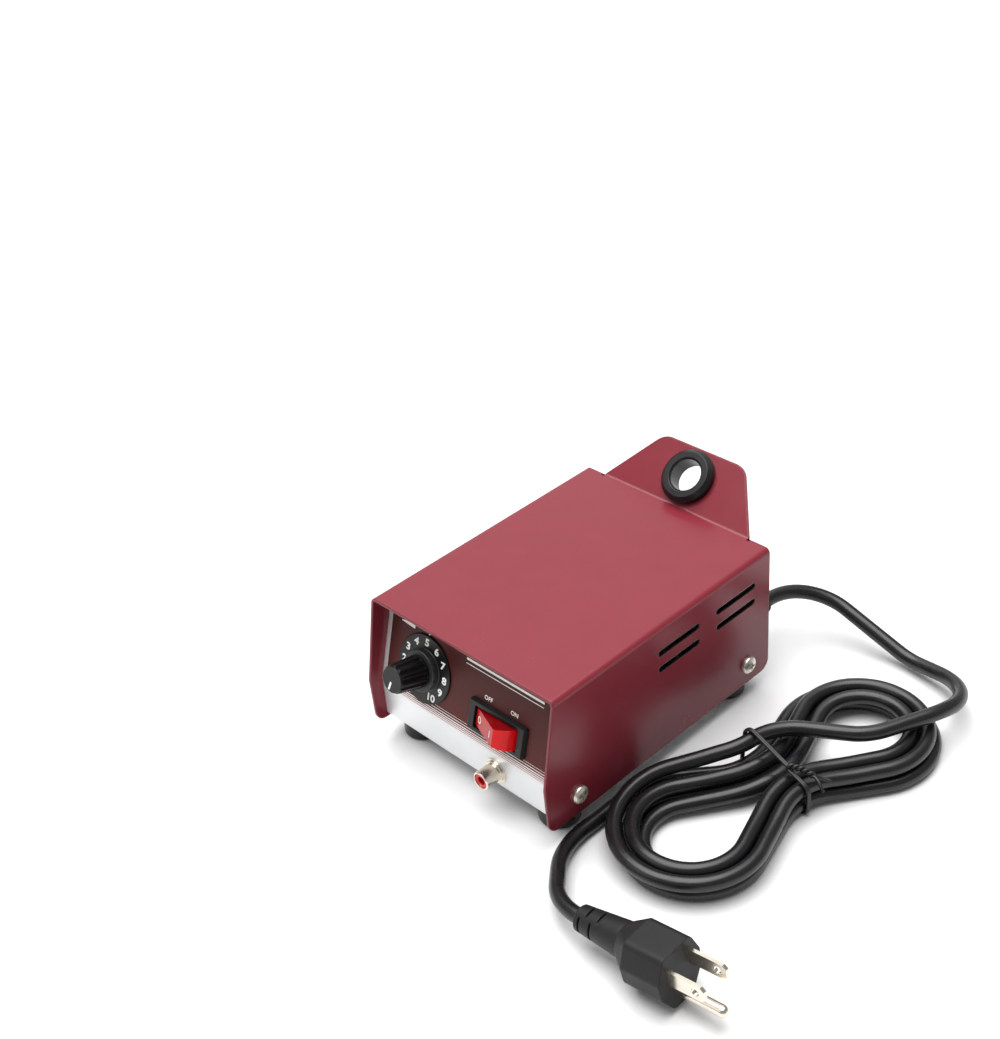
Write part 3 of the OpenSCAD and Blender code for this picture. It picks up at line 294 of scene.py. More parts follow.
def tie_line():
    """One wire drawn twice round the runs, its two ends wound round each other and then
    spread. For each direction the wrap is the outermost run's centre plus its radius that
    way, and it starts on the slope over the lower runs. The wound ends are a half turn
    apart on a circle carried along a low arc."""
    near = HANK_STEP / 2 - WAIST
    runs = np.array([[WAIST + FLARE, LOW_Z], [WAIST, OVER_Z], [near, LOW_Z], [near, LOW_Z + LAYER]])
    runs = runs + [0, WAIST_LIFT]
    slope = runs[1] - runs[3]
    start = np.arctan2(slope[0], -slope[1])
    a = np.linspace(start + WRAP_OPEN, start + 2 * np.pi - WRAP_OPEN, WRAP_POINTS)
    n = np.stack([np.cos(a), np.sin(a)], -1)
    loop = runs[np.argmax(n @ runs.T, axis=1)] + (CORD_R + TIE_GAP + TIE_R) * n
    meet = loop[:1] + TIE_MEET * (loop[-1:] - loop[:1])
    twice = np.concatenate([meet, loop, meet, loop, meet])
    s = np.linspace(-TIE_HALF_W, TIE_HALF_W, len(twice))
    wrap = HANK_AT + s[:, None] * ALONG + twice[:, :1] * FAR + twice[:, 1:] * UP
    wrap = wrap + np.array([0, CASE_FRONT, 0])
    t = np.linspace(0, 1, END_POINTS)
    base = (wrap[0] + wrap[-1]) / 2
    reach = unit(END_SLANT * ALONG - FAR)
    rise = END_LIFT + END_BOW * np.sin(np.pi * t) - END_DROP * t
    core = base + END_LEN * t[:, None] * reach + rise[:, None] * UP
    side, top = carried_frame(core)
    apart = smooth_step((t - SPREAD_FROM) / (1 - SPREAD_FROM))[:, None]
    far_out = END_R + END_SPREAD * apart
    ends = []
    for half in (0.0, np.pi):
        turn = (half + 2 * np.pi * END_TURNS * np.minimum(t, WOUND) / WOUND)[:, None]
        ends.append(core + far_out * (np.cos(turn) * side + np.sin(turn) * top * (1 - apart)))
    return even_line(np.concatenate([ends[0][::-1], wrap, ends[1]]), TIE_STEP)[0]


def make_tie():
    """A thin round wire along the tie's line."""
    line = tie_line()
    side, top = carried_frame(line)
    rings = carried_profile(line, side, top, TIE_R * circle(TIE_SIDES)[0][None]) * MM
    return tube_piece("cord_wrap", rings, "case")


tie = make_tie()
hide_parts("cord_tie")


# Printed markings, as thin meshes on what carries them

PRINT = 0.02
NUMBER_R, NUMBER_SIZE, NUMBER_STRETCH, NUMBER_WEIGHT = 12.3, 4.5, 1.14, 0.035
NUMBER_STEP, TOP_NUMBER = 30, 5
INDEX_HALF_W, INDEX_GAP, INDEX_LEN = 0.4, 0.1, 2.3
RULE_X0, RULE_X1 = -3.4, 40.2
RULE_HEIGHTS = ((30.5, 31.5), (28.8, 29.15))
WEDGE_POINTS = ((-42.8, 31.0), (-34.7, 30.4), (-34.7, 33.0), (-42.8, 31.4))
WORD_SIZE, WORD_WEIGHT, WORD_U = 2.7, 0.012, 19.3
WORD_PLACES = (("OFF", 11.2), ("ON", 25.8))
SIGN_X, SIGN_RING_R, SIGN_RING_W, SIGN_BAR_W, SIGN_BAR_LEN = 5.6, 1.55, 0.5, 0.5, 3.0


def on_panel(x, u, out):
    """Points x to the right, u up the leaning front face and out of it, in metres."""
    sn, cs = np.sin(PANEL_LEAN), np.cos(PANEL_LEAN)
    y = -PANEL_OUT + u * sn - out * cs + CASE_FRONT
    z = PANEL_BEND + u * cs + out * sn + CASE_LIFT
    return np.stack(np.broadcast_arrays(x, y, z), -1) * MM


def lettering(words, size, weight):
    """Outline of a short text about its middle, thickened by weight, as flat points and
    faces in millimetres."""
    curve = bpy.data.curves.new("words", "FONT")
    curve.body, curve.size, curve.align_x = words, 1.0, "CENTER"
    curve.resolution_u, curve.offset = 4, weight
    holder = bpy.data.objects.new("words", curve)
    scene.collection.objects.link(holder)
    bpy.context.view_layer.update()
    shape = bpy.data.meshes.new_from_object(holder.evaluated_get(bpy.context.evaluated_depsgraph_get()))
    flat = np.empty(len(shape.vertices) * 3, dtype=np.float32)
    shape.vertices.foreach_get("co", flat)
    flat = flat.reshape(-1, 3)[:, :2].astype(float) * size
    faces = [list(f.vertices) for f in shape.polygons]
    bpy.data.objects.remove(holder)
    bpy.data.curves.remove(curve)
    bpy.data.meshes.remove(shape)
    return flat - (flat.max(0) + flat.min(0)) / 2, faces


def rectangle(x0, x1, y0, y1):
    """Four corners of a flat rectangle and its one face."""
    return np.array([[x0, y0], [x1, y0], [x1, y1], [x0, y1]], dtype=float), [[0, 1, 2, 3]]


def ring(radius, width, count=28):
    """A flat ring about its middle: an outer and an inner circle joined by quads."""
    edge = circle(count)[0]
    i = np.arange(count)
    j = (i + 1) % count
    quads = np.stack([i, j, j + count, i + count], -1).tolist()
    return np.concatenate([edge * radius, edge * (radius - width)]), quads


def print_piece(name, shapes, body):
    """One object from several flat shapes that already lie in place, their faces counted on."""
    points, faces, start = [], [], 0
    for p, f in shapes:
        points.append(p)
        faces += [[i + start for i in face] for face in f]
        start += len(p)
    return new_piece(name, np.concatenate(points), faces, body)


def dial_numbers():
    """The numbers 1 to 10 upright on the skirt, each a step on from the one before, with
    the top number at the top."""
    shapes = []
    for k in range(1, 11):
        turn = np.radians((k - TOP_NUMBER) * NUMBER_STEP)
        flat, faces = lettering(str(k), NUMBER_SIZE, NUMBER_WEIGHT)
        x = DIAL_X + NUMBER_R * np.sin(turn) + flat[:, 0] * NUMBER_STRETCH
        u = DIAL_U + NUMBER_R * np.cos(turn) + flat[:, 1]
        shapes.append((on_panel(x, u, SKIRT_Z + PRINT), faces))
    return print_piece("dial_numbers", shapes, "dial")


def panel_marks():
    """The dial's index line, a wedge that widens towards more heat, OFF and ON over the
    switch, and a thin rule over a thinner one where the panel has room."""
    index_u = DIAL_U + SKIRT_R + INDEX_GAP
    shapes = [rectangle(DIAL_X - INDEX_HALF_W, DIAL_X + INDEX_HALF_W, index_u, index_u + INDEX_LEN)]
    shapes += [rectangle(RULE_X0, RULE_X1, low, high) for low, high in RULE_HEIGHTS]
    shapes.append((np.array(WEDGE_POINTS), [[0, 1, 2, 3]]))
    for words, x in WORD_PLACES:
        flat, faces = lettering(words, WORD_SIZE, WORD_WEIGHT)
        shapes.append((flat + [x, WORD_U], faces))
    placed = [(on_panel(p[:, 0], p[:, 1], FILM + PRINT), f) for p, f in shapes]
    return print_piece("panel_marks", placed, "case")


def rocker_marks():
    """A ring on one end of the rocker's face and a bar on the other. The face lies a set
    way over the pivot and leans with the rocker."""
    cs, sn = np.cos(ROCKER_TILT), np.sin(ROCKER_TILT)
    bar = rectangle(-SIGN_BAR_W / 2, SIGN_BAR_W / 2, -SIGN_BAR_LEN / 2, SIGN_BAR_LEN / 2)
    over = ROCKER_FACE + PRINT
    shapes = []
    for (flat, faces), x in ((ring(SIGN_RING_R, SIGN_RING_W), -SIGN_X), (bar, SIGN_X)):
        along = x + flat[:, 0]
        right = SWITCH_X + along * cs - over * sn
        shapes.append((on_panel(right, SWITCH_U + flat[:, 1], along * sn + over * cs - PIVOT_Z), faces))
    return print_piece("rocker_marks", shapes, "rocker")


numbers = dial_numbers()
marks = panel_marks()
signs = rocker_marks()


# Node helpers

def srgb(r, g, b):
    """A colour read off a screen, 0 to 255, as linear light with full alpha."""
    c = np.array([r, g, b]) / 255
    c = np.where(c <= 0.04045, c / 12.92, ((c + 0.055) / 1.055) ** 2.4)
    return (*[float(v) for v in c], 1.0)


def feed(tree, socket, value):
    """A link into a socket from another socket, or a plain value set on it."""
    if isinstance(value, bpy.types.NodeSocket):
        tree.links.new(value, socket)
    else:
        socket.default_value = value


def put(tree, kind, settings=None, **inputs):
    """A node of a kind with its settings made and its inputs fed by name, where a name's
    underscores stand for spaces, and i with a number picks an input by its place."""
    node = tree.nodes.new(kind)
    for key, value in (settings or {}).items():
        setattr(node, key, value)
    for key, value in inputs.items():
        by_place = key[0] == "i" and key[1:].isdigit()
        feed(tree, node.inputs[int(key[1:]) if by_place else key.replace("_", " ")], value)
    return node


def math(tree, operation, a, b=0.0):
    """One arithmetic node's result."""
    return put(tree, "ShaderNodeMath", {"operation": operation}, i0=a, i1=b).outputs[0]


def vector(tree, operation, a, b=(0.0, 0.0, 0.0)):
    """One vector node: its outputs are Vector and Value."""
    return put(tree, "ShaderNodeVectorMath", {"operation": operation}, i0=a, i1=b).outputs


def blend(tree, factor, a, b, kind="MIX"):
    """Colour a turned into colour b by factor."""
    node = put(tree, "ShaderNodeMix", {"data_type": "RGBA", "blend_type": kind}, i0=factor, i6=a, i7=b)
    return node.outputs[2]


def spread(tree, value, low, high, to_low=0.0, to_high=1.0):
    """value moved from one range to another and held inside it."""
    return put(tree, "ShaderNodeMapRange", None, Value=value, From_Min=low, From_Max=high,
               To_Min=to_low, To_Max=to_high).outputs[0]


def noise(tree, at, scale, detail, **inputs):
    """Noise at a place, 0 to 1."""
    return put(tree, "ShaderNodeTexNoise", None, Vector=at, Scale=scale, Detail=detail, **inputs).outputs[0]


def own_place(tree):
    """Where a point lies in the piece's own coordinates, in metres."""
    return tree.nodes.new("ShaderNodeTexCoord").outputs["Object"]


def own_normal(tree):
    """Which way the surface looks."""
    return tree.nodes.new("ShaderNodeNewGeometry").outputs["Normal"]


def parts_of(tree, value):
    """The three numbers of a vector."""
    return put(tree, "ShaderNodeSeparateXYZ", None, Vector=value).outputs


# Shared effects

FLOAT, COLOUR, VECTOR = "NodeSocketFloat", "NodeSocketColor", "NodeSocketVector"
TIGHT_TIMES, BROAD_SHARE, TIGHT_SHARE, TONE_RANGE = 14.0, 0.65, 0.35, (0.3, 0.7)
STREAK_TIMES, SOFT_SHARE, STREAK_SHARE, GLOSS_RANGE = 3.0, 0.6, 0.4, (0.32, 0.68)
GLOSS_SCALE, STREAK_DRAW, STREAK_TURN = 40.0, (1.0, 0.35, 0.6), (0.3, 0.2, 0.7)
WAVE_TIMES = 0.12
SPECK_RANGE, PATCH_SCALE, PATCH_RANGE, FACING_RANGE = (0.10, 0.16), 90.0, (0.5, 0.7), (0.2, 0.8)
EDGE_SAMPLES, EDGE_RANGE = 6, (0.98, 0.86)


def group_with(name, inputs, outputs):
    """An empty node group with its sockets: (kind, name, start value) each."""
    tree = bpy.data.node_groups.new(name, "ShaderNodeTree")
    for kind, label, start in inputs:
        socket = tree.interface.new_socket(label, in_out="INPUT", socket_type=kind)
        socket.default_value = start
    for kind, label in outputs:
        tree.interface.new_socket(label, in_out="OUTPUT", socket_type=kind)
    return tree, tree.nodes.new("NodeGroupInput").outputs, tree.nodes.new("NodeGroupOutput").inputs


def uneven_tone_group():
    """Colour made a little lighter and darker by two sizes of noise."""
    tree, come, go = group_with("uneven_tone", [(COLOUR, "Color", (1, 1, 1, 1)), (FLOAT, "Scale", 60.0),
                                                (FLOAT, "Amount", 0.1)], [(COLOUR, "Color")])
    at = own_place(tree)
    broad = noise(tree, at, come["Scale"], 3.0)
    tight = noise(tree, at, math(tree, "MULTIPLY", come["Scale"], TIGHT_TIMES), 2.0)
    both = math(tree, "ADD", math(tree, "MULTIPLY", broad, BROAD_SHARE),
                math(tree, "MULTIPLY", tight, TIGHT_SHARE))
    low = math(tree, "SUBTRACT", 1.0, come["Amount"])
    high = math(tree, "ADD", 1.0, come["Amount"])
    level = spread(tree, both, *TONE_RANGE, low, high)
    grey = put(tree, "ShaderNodeCombineColor", None, Red=level, Green=level, Blue=level).outputs[0]
    tree.links.new(blend(tree, 1.0, come["Color"], grey, "MULTIPLY"), go["Color"])
    return tree


def worn_gloss_group():
    """Roughness between two values by noise, with finger smears in long soft streaks."""
    tree, come, go = group_with("worn_gloss", [(FLOAT, "Low", 0.3), (FLOAT, "High", 0.45),
                                               (FLOAT, "Scale", GLOSS_SCALE)], [(FLOAT, "Roughness")])
    at = own_place(tree)
    soft = noise(tree, at, come["Scale"], 4.0, Roughness=0.6)
    long_way = put(tree, "ShaderNodeMapping", None, Vector=at, Scale=STREAK_DRAW,
                   Rotation=STREAK_TURN).outputs[0]
    streak = noise(tree, long_way, math(tree, "MULTIPLY", come["Scale"], STREAK_TIMES), 2.0)
    level = math(tree, "ADD", math(tree, "MULTIPLY", soft, SOFT_SHARE),
                 math(tree, "MULTIPLY", streak, STREAK_SHARE))
    tree.links.new(spread(tree, level, *GLOSS_RANGE, come["Low"], come["High"]), go["Roughness"])
    return tree


def surface_grain_group():
    """Height of a moulded or sprayed skin: fine noise with a coarser wave under it."""
    tree, come, go = group_with("surface_grain", [(FLOAT, "Scale", 1500.0), (FLOAT, "Wave", 0.4)],
                                [(FLOAT, "Height")])
    at = own_place(tree)
    fine = noise(tree, at, come["Scale"], 2.0)
    wave = noise(tree, at, math(tree, "MULTIPLY", come["Scale"], WAVE_TIMES), 1.0)
    tree.links.new(math(tree, "ADD", fine, math(tree, "MULTIPLY", wave, come["Wave"])), go["Height"])
    return tree


def settled_dust_group():
    """Mask of specks on faces that look up: sparse cells under a soft noise."""
    tree, come, go = group_with("settled_dust", [(FLOAT, "Scale", 700.0), (FLOAT, "Amount", 0.3)],
                                [(FLOAT, "Mask")])
    at = own_place(tree)
    cells = put(tree, "ShaderNodeTexVoronoi", None, Vector=at, Scale=come["Scale"]).outputs["Distance"]
    speck = spread(tree, cells, *SPECK_RANGE, 1.0, 0.0)
    patch = spread(tree, noise(tree, at, PATCH_SCALE, 3.0), *PATCH_RANGE)
    facing = spread(tree, parts_of(tree, own_normal(tree))[2], *FACING_RANGE)
    mask = math(tree, "MULTIPLY", math(tree, "MULTIPLY", speck, patch), facing)
    tree.links.new(math(tree, "MULTIPLY", mask, come["Amount"]), go["Mask"])
    return tree


def brushed_group():
    """Height of long fine lines: noise stretched far along one way."""
    tree, come, go = group_with("brushed_lines", [(FLOAT, "Scale", 900.0), (FLOAT, "Stretch", 0.03)],
                                [(FLOAT, "Height")])
    squeeze = put(tree, "ShaderNodeCombineXYZ", None, X=come["Stretch"], Y=1.0, Z=1.0).outputs[0]
    drawn = vector(tree, "MULTIPLY", own_place(tree), squeeze)[0]
    tree.links.new(noise(tree, drawn, come["Scale"], 3.0), go["Height"])
    return tree


def eased_edge_group():
    """Normal turned over sharp edges within a radius, and a mask of those edges: how far
    that normal leans from the face's own."""
    tree, come, go = group_with("eased_edge", [(FLOAT, "Radius", 0.0003)],
                                [(VECTOR, "Normal"), (FLOAT, "Edge")])
    turned = put(tree, "ShaderNodeBevel", {"samples": EDGE_SAMPLES}, Radius=come["Radius"]).outputs[0]
    same = vector(tree, "DOT_PRODUCT", turned, own_normal(tree))["Value"]
    tree.links.new(turned, go["Normal"])
    tree.links.new(spread(tree, same, *EDGE_RANGE), go["Edge"])
    return tree


GROUPS = {tree.name: tree for tree in (uneven_tone_group(), worn_gloss_group(), surface_grain_group(),
                                       settled_dust_group(), brushed_group(), eased_edge_group())}


def place_group(tree, name, **inputs):
    """One of the shared groups placed in a material: all its outputs."""
    return put(tree, "ShaderNodeGroup", {"node_tree": GROUPS[name]}, **inputs).outputs


def use(tree, name, **inputs):
    """One of the shared groups placed in a material: its first output."""
    return place_group(tree, name, **inputs)[0]


# Finishes

DUST, CORD_DUST = (0.25, 0.25, 0.25, 1), (0.3, 0.3, 0.3, 1)
# How much paler the edges are painted: partly wear and partly a painted highlight along them
WEAR_AND_HIGHLIGHT_TIMES, WEAR_AND_HIGHLIGHT_MORE = 1.6, 0.02
# Painted shade in and round the vents: its colour, and how far past a vent's half width it is full and where
# it has faded out
VENT_PAINTED_SHADE, RIM_SHADE_FULL, RIM_SHADE_END = srgb(30, 10, 12), 0.28, 0.4
FILM_DARK, FILM_WARM, FILM_LINES = srgb(72, 33, 30), srgb(84, 34, 33), srgb(226, 216, 214)
STRIPES_LOW, STRIPES_TOP, WARM_TOP, STRIPES, STRIPE_SHARE = 26.8, 34.0, 45.0, 6.0, 0.9
# Black of the dial, a painted highlight grey for its raised middle ring, and that ring's radius
DIAL_BLACK, COLLAR_HIGHLIGHT_GREY, COLLAR_R = srgb(13, 13, 14), srgb(40, 41, 42), 9.5
JACKET_DARK, JACKET_PALE = srgb(15, 15, 16), srgb(24, 24, 26)
DRAW_LINES, CORD_GLOSS_SCALE = (6.0, 40.0, 1.0), 120.0
# Painted light on the rocker: a bright red as if lit from within for its end walls, a duller painted shade
# for its face and a darker painted shade for its side walls
ROCKER_PAINTED_GLOW, FACE_PAINTED_SHADE_RED, WALL_PAINTED_SHADE_RED = srgb(210, 7, 14), srgb(164, 10, 17), srgb(132, 4, 9)
FACE_STARTS, FACE_FULL, WALL_SHADE_RANGE, ROCKER_EDGE = 0.25, 0.05, (0.35, 0.7), 0.4


def finish_tree(name, **constants):
    """A new material and its Principled shader, with the plain values set on it."""
    material = bpy.data.materials.new(name)
    material.use_nodes = True
    tree = material.node_tree
    shader = tree.nodes["Principled BSDF"]
    for key, value in constants.items():
        shader.inputs[key.replace("_", " ")].default_value = value
    return material, tree, shader


def finish_links(tree, shader, colour, gloss, gloss_scale=GLOSS_SCALE):
    """Colour into the shader, and a gloss between two values, left uneven by wear, into its roughness."""
    tree.links.new(colour, shader.inputs["Base Color"])
    rough = use(tree, "worn_gloss", Low=gloss[0], High=gloss[1], Scale=gloss_scale)
    tree.links.new(rough, shader.inputs["Roughness"])


def bump(tree, shader, height, strength, distance, over=None):
    """Height into the shader's normal, on top of an edge's eased normal where one is given."""
    node = put(tree, "ShaderNodeBump", None, Strength=strength, Distance=distance, Height=height)
    if over:
        tree.links.new(over, node.inputs["Normal"])
    tree.links.new(node.outputs[0], shader.inputs["Normal"])


def vent_rims(tree):
    """Mask of painted shade: the punched walls of the vents and a thin band round them are made
    dark as the shade inside the vents. The way to the nearest vent's middle line: what a place
    lies past the line's end, and off the line, taken at right angles after folding the four
    vents of a side on to one."""
    at = parts_of(tree, own_place(tree))
    middle_y = CASE_FRONT + VENT_START + (VENT_LEN + VENT_STEP) / 2
    middle_z = CASE_LIFT + VENT_Z + VENT_RISE / 2
    fold = math(tree, "ABSOLUTE", math(tree, "SUBTRACT", at[1], middle_y * MM))
    along = math(tree, "ABSOLUTE", math(tree, "SUBTRACT", fold, VENT_STEP / 2 * MM))
    past = math(tree, "MAXIMUM", math(tree, "SUBTRACT", along, (VENT_LEN - VENT_W) / 2 * MM), 0.0)
    level = math(tree, "ABSOLUTE", math(tree, "SUBTRACT", at[2], middle_z * MM))
    off = math(tree, "SUBTRACT", level, VENT_RISE / 2 * MM)
    squares = math(tree, "ADD", math(tree, "MULTIPLY", past, past), math(tree, "MULTIPLY", off, off))
    way = math(tree, "SQRT", squares)
    return spread(tree, way, (VENT_W / 2 + RIM_SHADE_FULL) * MM, (VENT_W / 2 + RIM_SHADE_END) * MM, 1.0, 0.0)


def plain_finish(name, colour, gloss, tone=0.08, tone_scale=60.0, grain=1500.0, depth=0.00002, strength=0.3,
                 dust=0.0, lines=False, edge=0.0, worn=0.0, rims=None, **constants):
    """A finish with an uneven tone, a gloss left uneven by wear and a grain, dust where it lies up,
    edges eased over a width in millimetres that are made paler by a share, partly as wear and
    partly as a painted highlight, and painted shade where a given mask asks for it."""
    material, tree, shader = finish_tree(name, **constants)
    shade = use(tree, "uneven_tone", Color=colour, Scale=tone_scale, Amount=tone)
    eased = place_group(tree, "eased_edge", Radius=edge * MM) if edge else None
    # Paler edges: partly wear, partly a painted highlight along edges and creases
    if worn:
        pale = tuple(min(1.0, WEAR_AND_HIGHLIGHT_TIMES * c + WEAR_AND_HIGHLIGHT_MORE) for c in colour[:3]) + (1.0,)
        shade = blend(tree, math(tree, "MULTIPLY", eased["Edge"], worn), shade, pale)
    if dust:
        shade = blend(tree, use(tree, "settled_dust", Amount=dust), shade, DUST)
    # Painted shade: the vent walls and a thin band round them made dark where shade falls
    if rims:
        shade = blend(tree, rims(tree), shade, VENT_PAINTED_SHADE)
    finish_links(tree, shader, shade, gloss)
    height = use(tree, "brushed_lines" if lines else "surface_grain", Scale=grain)
    bump(tree, shader, height, strength, depth, eased["Normal"] if edge else None)
    return material


def film_finish():
    """Dark printed film. Pale lines start thick at its lower edge and thin out upwards:
    a saw of the height is pale where it is under what is left of the way up."""
    material, tree, shader = finish_tree("printed_film", Specular_IOR_Level=0.15)
    height = parts_of(tree, own_place(tree))[2]
    way = spread(tree, height, STRIPES_LOW * MM, STRIPES_TOP * MM)
    saw = math(tree, "FRACT", math(tree, "MULTIPLY", way, STRIPES))
    left = math(tree, "MULTIPLY", math(tree, "SUBTRACT", 1.0, way), STRIPE_SHARE)
    pale = math(tree, "LESS_THAN", saw, left)
    dark = use(tree, "uneven_tone", Color=FILM_DARK, Scale=50.0, Amount=0.06)
    warm = blend(tree, spread(tree, height, STRIPES_LOW * MM, WARM_TOP * MM), FILM_WARM, dark)
    finish_links(tree, shader, blend(tree, pale, warm, FILM_LINES), (0.36, 0.46))
    bump(tree, shader, use(tree, "surface_grain", Scale=2600.0), 0.1, 0.00001)
    return material


def dial_finish():
    """Black moulding whose raised ring at the middle is painted grey as a highlight: the tone
    changes with the distance from the dial's axis, what is left of a place when its part
    along the axis is taken off."""
    material, tree, shader = finish_tree("dial_black", Specular_IOR_Level=0.32)
    axis = (0.0, -float(np.cos(PANEL_LEAN)), float(np.sin(PANEL_LEAN)))
    middle = tuple(map(float, on_panel(DIAL_X, DIAL_U, 0.0)))
    from_middle = vector(tree, "SUBTRACT", own_place(tree), middle)[0]
    along = vector(tree, "PROJECT", from_middle, axis)[0]
    distance = vector(tree, "LENGTH", vector(tree, "SUBTRACT", from_middle, along)[0])["Value"]
    # Painted highlight: grey inside the raised middle ring's radius
    collar_highlight = math(tree, "LESS_THAN", distance, COLLAR_R * MM)
    tone = blend(tree, collar_highlight, DIAL_BLACK, COLLAR_HIGHLIGHT_GREY)
    finish_links(tree, shader, use(tree, "uneven_tone", Color=tone, Scale=200.0, Amount=0.12), (0.36, 0.5))
    bump(tree, shader, use(tree, "surface_grain", Scale=2400.0), 0.25, 0.00002)
    return material


def cord_finish():
    """Black jacket with long draw lines that follow its UV, and dust where it lies up."""
    material, tree, shader = finish_tree("cord_jacket", Specular_IOR_Level=0.45)
    run = put(tree, "ShaderNodeUVMap", {"uv_map": "run"}).outputs[0]
    drawn = put(tree, "ShaderNodeMapping", None, Vector=run, Scale=DRAW_LINES).outputs[0]
    streak = noise(tree, drawn, 1.0, 3.0)
    tone = blend(tree, streak, JACKET_DARK, JACKET_PALE)
    tone = blend(tree, use(tree, "settled_dust", Amount=0.08), tone, CORD_DUST)
    finish_links(tree, shader, tone, (0.24, 0.36), CORD_GLOSS_SCALE)
    height = math(tree, "ADD", streak, use(tree, "surface_grain", Scale=2200.0))
    bump(tree, shader, height, 0.25, 0.00004)
    return material


def rocker_finish():
    """Clear red moulding with painted light on it. Its end walls are painted bright as if lit
    from within, its side walls get a darker painted shade as if looking into the dark inside,
    and its face a duller painted shade: the side walls are the faces that look along the pivot,
    and the face is what lies a set way over the pivot, measured square to the leaning rocker."""
    material, tree, shader = finish_tree("rocker_red", Specular_IOR_Level=0.24, Subsurface_Weight=0.35,
                                         Subsurface_Scale=0.6, Subsurface_Radius=(0.006, 0.001, 0.001))
    right = np.array([1.0, 0.0, 0.0])
    square = unit(on_panel(0.0, 0.0, 1.0) - on_panel(0.0, 0.0, 0.0))
    over = np.cos(ROCKER_TILT) * square - np.sin(ROCKER_TILT) * right
    pivot_way = tuple(map(float, np.cross(square, right)))
    pivot = tuple(map(float, on_panel(SWITCH_X, SWITCH_U, -PIVOT_Z)))
    from_pivot = vector(tree, "SUBTRACT", own_place(tree), pivot)[0]
    height = vector(tree, "DOT_PRODUCT", from_pivot, tuple(map(float, over)))["Value"]
    face = spread(tree, height, (ROCKER_FACE - FACE_STARTS) * MM, (ROCKER_FACE - FACE_FULL) * MM)
    aside = vector(tree, "DOT_PRODUCT", own_normal(tree), pivot_way)["Value"]
    wall_shade = spread(tree, math(tree, "ABSOLUTE", aside), *WALL_SHADE_RANGE)
    # Painted light: end walls bright as if lit from within, the face in a duller painted shade, the side
    # walls in a darker painted shade
    painted_glow = use(tree, "uneven_tone", Color=ROCKER_PAINTED_GLOW, Scale=150.0, Amount=0.08)
    tone = blend(tree, wall_shade, blend(tree, face, painted_glow, FACE_PAINTED_SHADE_RED), WALL_PAINTED_SHADE_RED)
    finish_links(tree, shader, tone, (0.18, 0.28))
    eased = place_group(tree, "eased_edge", Radius=ROCKER_EDGE * MM)["Normal"]
    bump(tree, shader, use(tree, "surface_grain", Scale=2000.0), 0.1, 0.00002, eased)
    return material


